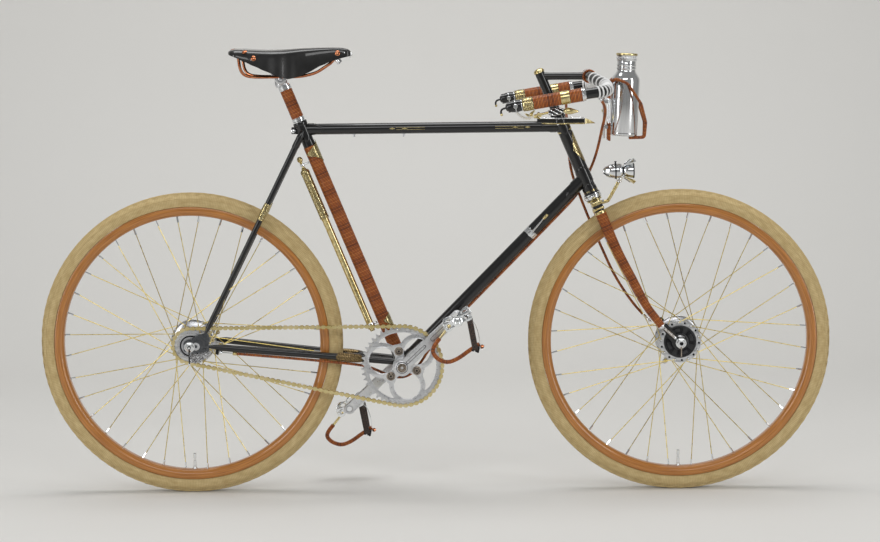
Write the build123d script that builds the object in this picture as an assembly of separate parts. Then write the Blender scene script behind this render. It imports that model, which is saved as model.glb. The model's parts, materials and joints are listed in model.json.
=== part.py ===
from build123d import *
from math import acos, atan2, cos, hypot, pi, radians, sin, sqrt, tan
import os

os.makedirs("parts", exist_ok=True)

# A gentleman's city bicycle: diamond frame, hub gear and hub brakes, leather-wrapped tubes.
# It is built from the rear axle (x = 0), the ground (z = 0) and the middle plane (y = 0).
# +X points forward, +Y to the rider's left and +Z up; millimetres.
# Every node is moved at the end, so that the origin is where the rider sits on the saddle.

# Overall sizes
wheel_base = 1135.4
tyre_diameter = 704.0
tyre_width = 42.0
crank_length = 175.0
bracket_drop = 50.5
bracket_ahead = 490.0
seat_angle = 67.6
head_angle = 66.7
fork_offset = 51.0
head_tube_length = 160.0
seat_tube_rise = 5.0
saddle_rise = 172.0
saddle_ahead = 16.92

# Clearances
running_gap = 1.0
seat_gap = 0.15
bearing_gap = 0.05
bearing_room = 0.6
steerer_room = 1.3
post_clearance = 0.2
quill_clearance = 0.1
pump_clearance = 7.5
crown_clearance = 20.8

# Tyre, rim and spokes
tyre_wall = 2.6
rim_overlap = 10.0
rim_width = 36.0
rim_depth = 21.5
rim_bevel = 9.0
bead_depth = 9.0
spoke_count = 36
spoke_crossings = 3
spoke_diameter = 2.0
spoke_lift = 1.6
spoke_spread = 1.2
spoke_dish = 0.12
spoke_phase = 15.8
spoke_room = 6.0
valve_length = 38.0
valve_diameter = 6.0

# Hubs, axles and brake plates
axle_diameter = 10.0
nut_height = 6.0
nut_across = 18.0
front_axle_free = 5.0
rear_axle_free = 3.0
flange_radius = 49.0
rear_small_flange = 33.0
drum_radius = 53.0
drum_mouth = 44.0
plate_radius = 43.0
plate_thickness = 3.0
plate_boss = 20.0
brake_arm_length = 60.0
brake_arm_width = 14.0
brake_arm_thickness = 4.0
front_plate_face = 34.0
rear_plate_face = 30.0
front_brake_angle = 205.0
rear_brake_angle = 100.0

# Frame tubes
tube_wall = 1.0
seat_tube_diameter = 28.6
top_tube_diameter = 25.4
down_tube_diameter = 28.6
head_tube_wall = 2.0
cup_height = 13.0
cup_wall = 3.0
crown_to_cup = 26.0
top_tube_drop_rear = 8.0
top_tube_drop_front = 5.5
down_tube_rise = 36.0
shell_diameter = 40.0
shell_width = 68.0
stay_diameter = 14.0
chain_stay_diameter = 16.0
stay_offset = 1.0
stay_ahead = 34.0
seat_stay_lift = 25.0
chain_stay_lift = 1.0
seat_stay_drop = 24.0
seat_stay_behind = 6.9
seat_stay_beside = 5.2
dropout_thickness = 5.0
front_dropout_inside = 50.0
rear_dropout_inside = 60.0
leather_wall = 1.2

# Saddle, seat post, pump and shifter
seat_post_wall = 2.0
seat_post_depth = 102.0
seat_clamp_drop = 77.0
seat_clamp_ahead = 11.4
rail_diameter = 7.0
rail_drop = 63.5
saddle_leather = 4.5
pump_diameter = 18.0
pump_head_diameter = 22.0
pump_foot_rise = 76.5
pump_handle_drop = 76.0
pump_handle_length = 30.0
pump_head_length = 114.0
pump_clip_width = 12.0
shifter_place = 0.705
shifter_boss = 17.0
shifter_reach = 12.0

# Fork and steering
steerer_diameter = 25.4
steerer_wall = 1.5
steerer_rise = 29.0
quill_depth = 33.0
quill_rise = 121.0
blade_diameter = 24.0
blade_tip_diameter = 15.0
blade_spread = 39.5
blade_bends = ((0.0, 42.5, 260.4), (6.5, 47.0, 177.0), (12.2, 52.0, 108.2), (25.6, 55.0, 53.4))
crown_side = 0.5
crown_depth = 26.0
crown_thickness = 20.0
head_plate_thickness = 15.0
nut_wall = 3.3
nut_sink = 3.0
nut_rise = 12.0
stem_rise = 110.0
stem_reach = 110.0
stem_diameter = 17.0
clamp_width = 34.0
clamp_wall = 4.0
bar_diameter = 23.8
bar_half_width = 230.0
bar_sweep = 194.0
bar_drop = 61.0
grip_wall = 3.1
grip_start = 14.0
grip_reach = 166.0

# Bottle, cage and lamp
bottle_radius = 32.3
bottle_wall = 1.0
bottle_height = 172.0
bottle_neck_radius = 21.5
bottle_ahead = 79.5
bottle_drop = 138.0
bottle_lean = 0.045
cap_wall = 3.3
cap_height = 17.8
cage_rod = 7.0
strap_ahead = 34.5
strap_thickness = 5.0
strap_width = 14.0
strap_length = 128.0
lamp_ahead = 57.5
lamp_lift = 76.5

# Transmission
chain_line = 46.0
chain_pitch = 12.7
chain_half_height = 4.2
chain_inner = 2.3
chain_outer = 4.4
roller_radius = 2.9
ring_teeth = 46
sprocket_teeth = 20
tooth_thickness = 3.0
ring_seat = 22.0
sprocket_seat = 25.0
crank_angle = 43.0
crank_thickness = 13.0
crank_inside = 60.0
crank_eye_radius = 17.0
pedal_eye_radius = 13.0
crank_axle_radius = 8.0
pedal_axle_radius = 6.5
pedal_gap = 5.0
pedal_width = 92.0
pedal_body_radius = 11.0
cage_length = 68.0
cage_height = 24.0
cage_plate = 4.0
pedal_tilt = 29.0
clip_diameter = 6.8
toe_strap_width = 14.0

# Values that follow
axle_height = tyre_diameter / 2
bracket_height = axle_height - bracket_drop
rim_diameter = tyre_diameter - 2 * (tyre_width - rim_overlap)
bead_diameter = rim_diameter - 2 * bead_depth
axle_bore = axle_diameter / 2 + bearing_gap
dropout_slot = axle_diameter + 2 * seat_gap
head_tube_bore = steerer_diameter + 2 * steerer_room
head_tube_diameter = head_tube_bore + 2 * head_tube_wall
cup_diameter = head_tube_diameter + 2 * cup_wall
nut_diameter = steerer_diameter + 2 * nut_wall
quill_radius = steerer_diameter / 2 - steerer_wall - quill_clearance
seat_post_radius = seat_tube_diameter / 2 - tube_wall - post_clearance
crown_width = 2 * (blade_spread + blade_diameter / 2 + crown_side)
stay_out = rear_dropout_inside + stay_offset
seat_stay_spread = seat_tube_diameter / 2 + seat_stay_beside
grip_diameter = bar_diameter + 2 * grip_wall
cap_radius = bottle_neck_radius + cap_wall
seat_wrap_radius = seat_tube_diameter / 2 + leather_wall
pump_offset = seat_wrap_radius + pump_clearance + pump_head_diameter / 2
pedal_start = crank_inside + crank_thickness + pedal_gap
pedal_middle = pedal_start + pedal_width / 2
seat_slope = tan(radians(seat_angle))
head_slope = tan(radians(head_angle))
up_the_seat = Vector(-cos(radians(seat_angle)), 0, sin(radians(seat_angle)))
ahead_of_seat = Vector(sin(radians(seat_angle)), 0, cos(radians(seat_angle)))
up_the_head = Vector(-cos(radians(head_angle)), 0, sin(radians(head_angle)))
ahead_of_head = Vector(sin(radians(head_angle)), 0, cos(radians(head_angle)))
bracket = Vector(bracket_ahead, 0, bracket_height)
rear_axle = Vector(0, 0, axle_height)
front_axle = Vector(wheel_base, 0, axle_height)
head_foot = front_axle - ahead_of_head * fork_offset
crown_up = sqrt((tyre_diameter / 2 + crown_clearance) ** 2 - fork_offset ** 2)


def seat_point(z):
    """Point on the seat tube's axis at a height."""
    return Vector(bracket_ahead - (z - bracket_height) / seat_slope, 0, z)


def head_point(z):
    """Point on the steering axis at a height."""
    return Vector(head_foot.X - (z - head_foot.Z) / head_slope, 0, z)


def fork_point(ahead, out, up):
    """Point in front of the steering axis, to one side and up from the front axle."""
    return head_foot + ahead_of_head * ahead + Vector(0, out, 0) + up_the_head * up


crown_centre = fork_point(0, 0, crown_up)
crown_height = crown_centre.Z
head_tube_bottom = crown_height + crown_to_cup
head_tube_top = head_tube_bottom + head_tube_length
plate_top = head_tube_top + head_plate_thickness
seat_tube_top = head_tube_top + seat_tube_rise
top_tube_rear = head_tube_top - top_tube_drop_rear
top_tube_front = head_tube_top - top_tube_drop_front
down_tube_front = head_tube_bottom + down_tube_rise
stem_height = head_tube_top + stem_rise
bar_centre = Vector(head_point(stem_height).X + stem_reach, 0, stem_height)
bar_end = bar_centre + Vector(-bar_sweep, bar_half_width, -bar_drop)
saddle_height = seat_tube_top + saddle_rise
rider_point = Vector(seat_point(saddle_height).X + saddle_ahead, 0, saddle_height)


def along(start, end, distance):
    """Point at a distance from start on the line towards end."""
    return start + (end - start).normalized() * distance


def rod(start, end, radius, end_radius=None):
    """Round bar, or a taper if its end has a radius of its own."""
    length = (end - start).length
    plane = Plane(origin=start, z_dir=(end - start).normalized())
    if end_radius is None:
        return extrude(plane * Circle(radius), length)
    return plane.location * Pos(0, 0, length / 2) * Cone(radius, end_radius, length)


def pipe(start, end, radius, wall):
    return rod(start, end, radius) - rod(start, end, radius - wall)


def cross_rod(centre, low, high, radius):
    """Cylinder along Y through a centre, from low to high."""
    return rod(Vector(centre.X, low, centre.Z), Vector(centre.X, high, centre.Z), radius)


def turned(profile, origin, direction):
    """Revolve (radius, height) points about the axis that leaves origin along direction."""
    solid = revolve(Plane.XZ * make_face(Polyline(*profile, close=True)), Axis.Z)
    return Plane(origin=origin, z_dir=direction).location * solid


def flat_plate(face, centre, low, high):
    """Extrude a face drawn in (x, z) about a centre from y = low to y = high."""
    solid = extrude(Plane.XZ * face, amount=-(high - low))
    return Pos(centre.X, low, centre.Z) * solid


def bent_rod(points, radii, radius):
    path = FilletPolyline(*points, radius=radii)
    section = Plane(origin=path @ 0, z_dir=path % 0) * Circle(radius)
    return sweep(section, path=path)


def cord(points, diameter):
    """Cord through its points, with the widest tangent arcs that its runs leave room for."""
    share = 0.45
    radii = []
    for before, here, after in zip(points, points[1:], points[2:]):
        first = Vector(*here) - Vector(*before)
        second = Vector(*after) - Vector(*here)
        turn = radians(first.get_angle(second))
        radii.append(share * min(first.length, second.length) / tan(turn / 2))
    return bent_rod([Vector(*point) for point in points], radii, diameter / 2)


def mirrored(solid):
    return mirror(solid, about=Plane.XZ)


def both(solid):
    return Compound(children=[solid, mirrored(solid)])


def make_tyre(axle):
    """Hollow balloon tyre, open towards the rim."""
    middle = axle_height - tyre_width / 2
    wall = Circle(tyre_width / 2) - Circle(tyre_width / 2 - tyre_wall)
    inside = Pos(rim_diameter / 4, 0) * Rectangle(rim_diameter / 2, tyre_width * 2)
    return Pos(axle) * revolve(Pos(middle, 0) * wall - inside, Axis.Y)


def make_rim(axle):
    """Box-shaped rim with a bed for the tyre, and the valve that stands in from it."""
    flange, half = rim_diameter / 2, rim_width / 2
    inside, bead = flange - rim_depth, bead_diameter / 2
    lip, shoulder, well = half - 4, half - 5, half - 10
    outline = [(inside, half - rim_bevel), (inside + rim_bevel, half), (flange, half), (flange, lip),
               (bead, shoulder), (bead - 3, well)]
    mirror_half = [(radius, -place) for radius, place in reversed(outline)]
    solid = revolve(make_face(Polyline(*outline, *mirror_half, close=True)), Axis.Y)
    valve = rod(Vector(0, 0, valve_length - inside), Vector(0, 0, 3.2 - bead), valve_diameter / 2)
    return Pos(axle) * (solid + valve)


def wheel_point(axle, radius, angle, y):
    return axle + Vector(radius * cos(angle), y, radius * sin(angle))


def make_spokes(axle, flanges):
    """Straight spokes laced from each hub flange (hole radius, edge radius, place) to the rim."""
    per_side = spoke_count // 2
    step = 2 * pi / per_side
    rim_inside = rim_diameter / 2 - rim_depth
    solids = []
    for side, (radius, edge, place) in enumerate(flanges):
        flange_room = cross_rod(axle, place - spoke_room, place + spoke_room, edge)
        for i in range(per_side):
            turn = 1 if i % 2 else -1
            hub_angle = radians(spoke_phase) + (i + side / 2) * step
            rim_angle = hub_angle + turn * step * spoke_crossings
            start = wheel_point(axle, radius, hub_angle, place + spoke_lift * turn)
            end = wheel_point(axle, rim_inside, rim_angle, place * spoke_dish + spoke_spread * turn)
            solids.append(rod(start, end, spoke_diameter / 2) - flange_room)
    return Compound(children=solids)


def make_front_hub():
    """Wide drum with a spoke flange on each side."""
    profile = [(axle_bore, -33), (36, -33), (flange_radius, -32), (flange_radius, -29), (37, -27), (36, -24),
               (36, 24), (46, 26), (drum_radius, 28), (drum_radius, 31), (47, 33), (drum_mouth, 33),
               (drum_mouth, 29), (axle_bore, 29)]
    return turned(profile, front_axle, Vector(0, 1, 0))


def make_rear_hub():
    """Gear hub: small flange by the chain, brake drum on the other side."""
    profile = [(axle_bore, -36), (24, -36), (rear_small_flange, -35), (rear_small_flange, -32), (27, -30),
               (29, -10), (29, 18), (46, 22), (drum_radius, 24), (drum_radius, 27), (47, 29),
               (drum_mouth, 29), (drum_mouth, 25), (axle_bore, 25)]
    return turned(profile, rear_axle, Vector(0, 1, 0))


def make_axle(centre, inside, free_end):
    """Threaded axle with a nut outside each dropout."""
    nut_face = inside + dropout_thickness + seat_gap
    reach = inside + dropout_thickness + nut_height + free_end
    nut = flat_plate(RegularPolygon(nut_across / 2, 6), centre, nut_face, nut_face + nut_height)
    return cross_rod(centre, -reach, reach, axle_diameter / 2) + nut + mirrored(nut)


def make_brake_plate(centre, face, inside, arm_angle):
    """Still plate that closes a hub's drum, with its reaction arm."""
    bore, end = axle_diameter / 2 + seat_gap, inside - 2 * seat_gap
    profile = [(bore, face), (plate_radius, face), (plate_radius, face + plate_thickness),
               (plate_boss, face + 2 * plate_thickness), (plate_boss, end), (bore, end)]
    plate = turned(profile, centre, Vector(0, 1, 0))
    arm = Box(brake_arm_width, brake_arm_thickness, brake_arm_length)
    arm = Rot(0, arm_angle, 0) * Pos(0, 0, brake_arm_length / 2 + axle_diameter) * arm
    return plate + Pos(centre.X, face + 9, centre.Z) * arm


def pitch_radius(teeth):
    return chain_pitch / 2 / sin(pi / teeth)


ring_radius = pitch_radius(ring_teeth)
sprocket_radius = pitch_radius(sprocket_teeth)
ring_hole_place = 0.5158 * ring_radius
ring_hole_radius = 0.3277 * ring_radius
slot_inner = 0.645 * ring_radius
slot_outer = 0.849 * ring_radius
ring_web = 7.5


def toothed_disc(teeth):
    """Flat toothed face: a valley for each roller and a short tooth between."""
    radius = pitch_radius(teeth)
    points = []
    for i in range(teeth):
        for share, reach in ((0.0, -4.3), (0.22, -4.0), (0.40, 2.6), (0.60, 2.6), (0.78, -4.0)):
            angle = (i + share) * 2 * pi / teeth
            points.append(((radius + reach) * cos(angle), (radius + reach) * sin(angle)))
    return make_face(Polyline(*points, close=True))


def ring_hole(turn, radius):
    return Rot(0, 0, crank_angle + 1 + turn) * Pos(ring_hole_place, 0) * Circle(radius)


def make_chainring():
    """Toothed ring with three round holes and, between them, three curved slots."""
    face = toothed_disc(ring_teeth)
    wide = slot_outer * 2
    wedge = make_face(Polyline((0, 0), (wide, 0.6 * wide), (wide, -0.6 * wide), close=True))
    for turn in (0, 120, 240):
        slot = (Circle(slot_outer) - Circle(slot_inner)) & Rot(0, 0, crank_angle + 61 + turn) * wedge
        slot -= ring_hole(turn, ring_hole_radius + ring_web)
        slot -= ring_hole(turn + 120, ring_hole_radius + ring_web)
        face -= ring_hole(turn, ring_hole_radius)
        face -= slot
    half = tooth_thickness / 2
    disc = flat_plate(face, bracket, -chain_line - half, -chain_line + half)
    return disc - cross_rod(bracket, -2 * chain_line, 0, ring_seat)


def make_sprocket():
    """Toothed ring on its stepped carrier."""
    half = tooth_thickness / 2
    face = toothed_disc(sprocket_teeth) - Circle(sprocket_seat)
    disc = flat_plate(face, rear_axle, -chain_line - half, -chain_line + half)
    outer, inner, foot = -chain_line - 1, -chain_line + 3, -chain_line + 8
    profile = [(axle_bore, foot), (20, foot), (sprocket_seat, inner), (sprocket_seat, outer), (14, outer),
               (14, outer + 2.7), (axle_bore, outer + 2.7)]
    return disc + turned(profile, rear_axle, Vector(0, 1, 0))


def chain_face(offset):
    """Belt outline around both toothed wheels, drawn from the rear axle, offset from the pitch line."""
    big, small = ring_radius + offset, sprocket_radius + offset
    front = (bracket_ahead, bracket_height - axle_height)
    lean = atan2(front[1], front[0])
    spread = acos((small - big) / hypot(*front))

    def on(centre, radius, angle):
        return (centre[0] + radius * cos(angle), centre[1] + radius * sin(angle))

    upper, lower = lean + spread, lean - spread
    top = Line(on((0, 0), small, upper), on(front, big, upper))
    wrap = ThreePointArc(on(front, big, upper), on(front, big, lean), on(front, big, lower))
    bottom = Line(on(front, big, lower), on((0, 0), small, lower))
    back = ThreePointArc(on((0, 0), small, lower), on((0, 0), small, lean + pi), on((0, 0), small, upper))
    return make_face([top, wrap, bottom, back])


def make_chain():
    """Two rows of side plates round both wheels, joined by the rollers of the straight runs."""
    band = chain_face(chain_half_height) - chain_face(-chain_half_height)
    near = flat_plate(band, rear_axle, -chain_line - chain_outer, -chain_line - chain_inner)
    far = flat_plate(band, rear_axle, -chain_line + chain_inner, -chain_line + chain_outer)
    end_room = 20.0
    length = bracket_ahead - ring_radius - sprocket_radius - 2 * end_room
    window = Pos(sprocket_radius + end_room + length / 2, 0) * Rectangle(length, 4 * ring_radius)
    runs = (chain_face(roller_radius) - chain_face(-roller_radius)) & window
    return near + far + flat_plate(runs, rear_axle, -chain_line - chain_inner, -chain_line + chain_inner)


def crank_turn(side):
    return crank_angle if side < 0 else crank_angle + 180


def pedal_point(side):
    angle = radians(crank_turn(side))
    return bracket + Vector(crank_length * cos(angle), 0, crank_length * sin(angle))


def make_arm(side):
    """Tapered arm with its two eyes, side -1 on the chain side."""
    root, tip = 0.76 * crank_eye_radius, 0.73 * pedal_eye_radius
    low, high = sorted((side * crank_inside, side * (crank_inside + crank_thickness)))
    face = Circle(crank_eye_radius) + Pos(crank_length, 0) * Circle(pedal_eye_radius)
    face += make_face(Polyline((0, root), (crank_length, tip), (crank_length, -tip), (0, -root), close=True))
    solid = flat_plate(Rot(0, 0, crank_turn(side)) * face, bracket, low, high)
    return solid - cross_rod(pedal_point(side), low - 5, high + 5, pedal_axle_radius + bearing_gap)


def make_right_crank():
    """Chain-side arm with the bracket axle and the boss that carries the chainring."""
    outer = crank_inside + crank_thickness
    boss = cross_rod(bracket, -crank_inside - 2, -shell_width / 2 - 5, ring_seat)
    axle = cross_rod(bracket, -shell_width / 2 - 6, outer, crank_axle_radius)
    return make_arm(-1) + boss + axle


def make_left_crank():
    return make_arm(1) - cross_rod(bracket, 0, 2 * crank_inside, crank_axle_radius)


def placed_pedal(solid, side):
    if side < 0:
        solid = mirrored(solid)
    return Pos(pedal_point(side)) * solid


def pedal_body():
    return rod(Vector(0, pedal_start, 0), Vector(0, pedal_start + pedal_width, 0), pedal_body_radius)


def make_pedal(side):
    """Body and cage plates, with the axle that screws into the crank."""
    body = pedal_body()
    for y in (pedal_start + 8, pedal_start + pedal_width - 12):
        body += Pos(0, y, 0) * Box(cage_length, cage_plate, cage_height)
    for end in (-1, 1):
        place = end * (cage_length - cage_plate) / 2
        body += Pos(place, pedal_middle - 2, 0) * Box(cage_plate, pedal_width - 16, 0.75 * cage_height)
    axle = rod(Vector(0, crank_inside, 0), Vector(0, pedal_start + 2, 0), pedal_axle_radius)
    return placed_pedal(Rot(0, -pedal_tilt, 0) * body + axle, side)


def make_toe_clip(side):
    """Wrapped wire clip that hangs below the cage, and the strap that closes it."""
    bends = [(-17, -20, -17), (-40, -18, -46), (-57, -12, -70), (-46, 0, -92), (-20, 0, -99), (8, 0, -86),
             (36, 0, -66), (50, 0, -57)]
    points = [Vector(x, pedal_middle + y, z) for x, y, z in bends]
    wire = bent_rod(points, [20, 12, 12, 14, 30, 60], clip_diameter / 2)
    strap = Pos(cage_length / 2 + 2, pedal_middle, -32) * Rot(0, -9, 0) * Box(2.5, toe_strap_width, 62)
    cage = Rot(0, -pedal_tilt, 0) * Pos(0, pedal_middle, 0) * Box(cage_length, pedal_width, cage_height)
    return placed_pedal(wire + strap - cage - pedal_body(), side)


def shell_solid(radius):
    return cross_rod(bracket, -shell_width / 2, shell_width / 2, radius)


def seat_tube_solid():
    return rod(bracket, seat_point(seat_tube_top), seat_tube_diameter / 2)


def head_rod(low, high, radius):
    """Cylinder on the steering axis between two heights."""
    return rod(head_point(low), head_point(high), radius)


def make_shell():
    return shell_solid(shell_diameter / 2) - shell_solid(crank_axle_radius + bearing_gap)


def make_seat_tube():
    tube = pipe(bracket, seat_point(seat_tube_top), seat_tube_diameter / 2, tube_wall)
    return tube - shell_solid(shell_diameter / 2)


def make_head_tube():
    """Head tube with the cup of the lower bearing."""
    cup = head_rod(head_tube_bottom - cup_height, head_tube_bottom, cup_diameter / 2)
    cup -= head_rod(head_tube_bottom - 2 * cup_height, head_tube_bottom, steerer_diameter / 2 + bearing_room)
    tube = head_rod(head_tube_bottom, head_tube_top, head_tube_diameter / 2)
    return tube - head_rod(head_tube_bottom, head_tube_top, head_tube_bore / 2) + cup


def make_top_tube():
    tube = pipe(seat_point(top_tube_rear), head_point(top_tube_front), top_tube_diameter / 2, tube_wall)
    head_room = head_rod(head_tube_bottom, plate_top + top_tube_diameter, head_tube_diameter / 2)
    return tube - seat_tube_solid() - head_room


def make_down_tube():
    tube = pipe(bracket, head_point(down_tube_front), down_tube_diameter / 2, tube_wall)
    head_room = head_rod(head_tube_bottom, head_tube_top, head_tube_diameter / 2)
    return tube - shell_solid(shell_diameter / 2) - head_room - seat_tube_solid()


seat_stay_foot = rear_axle + Vector(stay_ahead, stay_out, seat_stay_lift)
seat_stay_head = seat_point(seat_tube_top - seat_stay_drop) + Vector(-seat_stay_behind, seat_stay_spread, 0)
chain_stay_foot = rear_axle + Vector(stay_ahead, stay_out, chain_stay_lift)
chain_stay_bend = bracket + Vector(-105, 30, 16.5)
chain_stay_front = bracket + Vector(-20, 25, 7.5)


def make_seat_stays():
    stay = rod(seat_stay_foot, seat_stay_head, stay_diameter / 2 - 1, stay_diameter / 2)
    return both(stay - seat_tube_solid())


def make_chain_stays():
    stay = bent_rod([chain_stay_front, chain_stay_bend, chain_stay_foot], [120], chain_stay_diameter / 2)
    return both(stay - shell_solid(shell_diameter / 2))


def make_rear_dropouts():
    """Slotted plates between the stays' tips."""
    outline = make_face(Polyline((-17, -14), (-17, 12), (2, 20), (24, 30), (40, 34), (46, 20), (44, 4),
                                 (46, -8), (20, -14), close=True))
    slot = Pos(-12, 0) * Rectangle(34, dropout_slot) + Circle(dropout_slot / 2)
    inside = rear_dropout_inside
    solid = flat_plate(outline - slot, rear_axle, inside, inside + dropout_thickness)
    for foot, head in ((seat_stay_foot, seat_stay_head), (chain_stay_foot, chain_stay_bend)):
        solid -= rod(along(foot, head, -3), along(foot, head, 60), chain_stay_diameter / 2)
    return both(solid)


def saddle_point(x, y, z):
    return rider_point + Vector(x, y, z)


def saddle_section(x, half_width, top, skirt):
    """Closed inverted U across the saddle at one station."""
    rise, wall = top - skirt, saddle_leather
    shares = [(-1.0, 0.0), (-1.0, 0.4), (-0.74, 0.82), (0.0, 1.0), (0.74, 0.82), (1.0, 0.4), (1.0, 0.0)]
    corners = [saddle_point(x, y * half_width, skirt + z * rise) for y, z in shares]
    for y, z in reversed(shares):
        corners.append(saddle_point(x, y * (half_width - wall), skirt + z * (rise - wall)))
    return make_face(Polyline(*corners, close=True))


def make_saddle():
    """Leather top, lofted through sections from the cantle to the nose."""
    stations = [(-105, 70, -4, -22), (-87, 80, 3, -28), (-45, 76, 1, -38), (10, 56, -1, -68),
                (65, 32, 0, -50), (125, 21, 3, -26), (161, 19, 0, -22), (173, 15, -4, -18)]
    return loft([saddle_section(*station) for station in stations], ruled=True)


def make_saddle_rails():
    bends = [(-82, 56, -5.5), (-68, 50, 7.5 - rail_drop), (-15, 24, -rail_drop), (57, 22, -rail_drop),
             (121, 12, -36), (145, 11, -5.5)]
    rail = bent_rod([saddle_point(*bend) for bend in bends], [14, 30, 60, 16], rail_diameter / 2)
    return both(rail) - make_saddle()


def make_seat_clamp():
    """Barrel and side cheeks on top of the post that grip the rails."""
    barrel = cross_rod(saddle_point(seat_clamp_ahead, 0, -seat_clamp_drop), -30, 30, 9.5)
    cheek_centre = saddle_point(seat_clamp_ahead, 0, -rail_drop - 4.5)
    for side in (-1, 1):
        low, high = sorted((side * 16, side * 29))
        barrel += cross_rod(cheek_centre, low, high, 13.0)
    for side in (-1, 1):
        start = saddle_point(-55, side * 24, -rail_drop)
        end = saddle_point(95, side * 22, -rail_drop)
        barrel -= rod(start, end, rail_diameter / 2 + seat_gap)
    post_room_top = saddle_height - seat_clamp_drop + 5
    return barrel - rod(seat_point(seat_tube_top), seat_point(post_room_top), seat_post_radius)


def make_seat_post():
    foot, head = seat_point(seat_tube_top - seat_post_depth), seat_point(saddle_height - seat_clamp_drop - 5)
    return pipe(foot, head, seat_post_radius, seat_post_wall)


def wrap_of(low, high, radius):
    """Leather round the seat tube or post between two heights."""
    return pipe(seat_point(low), seat_point(high), radius + leather_wall, leather_wall)


def make_seat_leather():
    tube_wrap = wrap_of(bracket_height + 91.5, seat_tube_top - 49, seat_tube_diameter / 2)
    post_wrap = wrap_of(seat_tube_top + 6, seat_tube_top + 80, seat_post_radius)
    return Compound(children=[tube_wrap, post_wrap])


def pump_point(z):
    """Point on the pump's axis, behind the seat tube."""
    return seat_point(z) - Vector(pump_offset / sin(radians(seat_angle)), 0, 0)


pump_foot = bracket_height + pump_foot_rise
pump_top = seat_tube_top - pump_handle_drop
pump_joint = pump_top - pump_handle_length - pump_head_length


def make_pump():
    """Barrel, thicker head, handle rod and knob, with the two clips that hold them off the tube."""
    solid = rod(pump_point(pump_joint), pump_point(pump_foot), pump_diameter / 2)
    solid += rod(pump_point(pump_top - pump_handle_length), pump_point(pump_joint), pump_head_diameter / 2)
    solid += rod(pump_point(pump_top - 10), pump_point(pump_top - pump_handle_length), 5.0)
    solid += rod(pump_point(pump_top), pump_point(pump_top - 10), 6.5)
    clips = [(pump_top - 48, pump_head_diameter / 2), (pump_foot + 14, pump_diameter / 2)]
    for height, radius in clips:
        centre = pump_point(height)
        ring = Plane(origin=centre - up_the_seat * pump_clip_width / 2, z_dir=up_the_seat)
        clip = extrude(ring * Circle(radius + 2.5), pump_clip_width)
        clip += rod(centre, centre + ahead_of_seat * (pump_offset - seat_wrap_radius + 4), 4.0)
        clip -= rod(bracket, seat_point(seat_tube_top), seat_wrap_radius + seat_gap)
        solid += clip
    return solid


def make_shifter():
    """Lever and round boss on the chain side of the down tube."""
    face = down_tube_diameter / 2
    centre = bracket + (head_point(down_tube_front) - bracket) * shifter_place
    boss = cross_rod(centre, -face - shifter_reach, -face + 3, shifter_boss / 2)
    boss -= rod(bracket, head_point(down_tube_front), face)
    lever_start = centre + Vector(4, 3 - face - shifter_reach, 5)
    return boss + rod(lever_start, lever_start + Vector(30, 0, 35), 3.5, 2.5)


def make_blade(extra=0.0, first=0.0, last=1.0):
    """Left blade, tapered and raked: round sections lofted along its curve."""
    path = Spline(fork_point(0, blade_spread, crown_up), *[fork_point(*bend) for bend in blade_bends])
    sections = []
    for i in range(7):
        share = first + (last - first) * i / 6
        radius = (blade_diameter + (blade_tip_diameter - blade_diameter) * share) / 2
        sections.append(Plane(origin=path @ share, z_dir=path % share) * Circle(radius + extra))
    return loft(sections)


def crown_block():
    plane = Plane(origin=crown_centre, x_dir=ahead_of_head, z_dir=up_the_head)
    return plane.location * Box(crown_depth, crown_width, crown_thickness)


def make_fork_blades():
    """Both blades with their slotted tips, cut to the crown."""
    outline = make_face(Polyline((-50, 44), (-34, 46), (-6, 14), (12, 12), (15, -6), (8, -14), (-8, -14),
                                 (-18, -4), close=True))
    slot = Pos(0, -12) * Rectangle(dropout_slot, 24) + Circle(dropout_slot / 2)
    inside = front_dropout_inside
    tip = flat_plate(outline - slot, front_axle, inside, inside + dropout_thickness)
    return both(make_blade() + tip - crown_block())


def make_fork_leather():
    """Leather over the blades, from below the crown to the tips."""
    return both(make_blade(leather_wall, 0.06, 0.94) - make_blade())


def make_fork_crown():
    """Crown, bearing race and steerer tube, brazed as one."""
    race_top = head_tube_bottom - cup_height - running_gap
    steerer_top = head_tube_top + steerer_rise
    race = head_rod(crown_height, race_top, cup_diameter / 2 - 1.5)
    steerer = head_rod(crown_height, steerer_top, steerer_diameter / 2)
    bore = head_rod(crown_height - 40, steerer_top + 10, steerer_diameter / 2 - steerer_wall)
    return crown_block() + race + steerer - bore


def make_headset_nut():
    nut = head_rod(plate_top - nut_sink, plate_top + nut_rise, nut_diameter / 2)
    return nut - head_rod(head_tube_top, stem_height, steerer_diameter / 2 + seat_gap)


def make_head_plate():
    """Spear-shaped cap on the head joint, pointed forward."""
    outline = make_face(Polyline((-52, 6), (-20, 17), (58, 17), (84, 0), (58, -17), (-20, -17), (-52, -6),
                                 close=True))
    foot = Plane(origin=(head_point(plate_top).X, 0, head_tube_top))
    solid = extrude(foot * outline, head_plate_thickness)
    solid -= rod(seat_point(top_tube_rear), head_point(top_tube_front), top_tube_diameter / 2 + seat_gap)
    solid -= head_rod(head_tube_bottom, head_tube_top, head_tube_diameter / 2 + seat_gap)
    solid -= head_rod(head_tube_bottom, stem_height, steerer_diameter / 2 + bearing_room)
    nut_room = head_rod(plate_top - nut_sink - running_gap, stem_height, nut_diameter / 2 + running_gap)
    return solid - nut_room


def bar_room(extra=0.0):
    return cross_rod(bar_centre, -60, 60, bar_diameter / 2 + extra)


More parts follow.
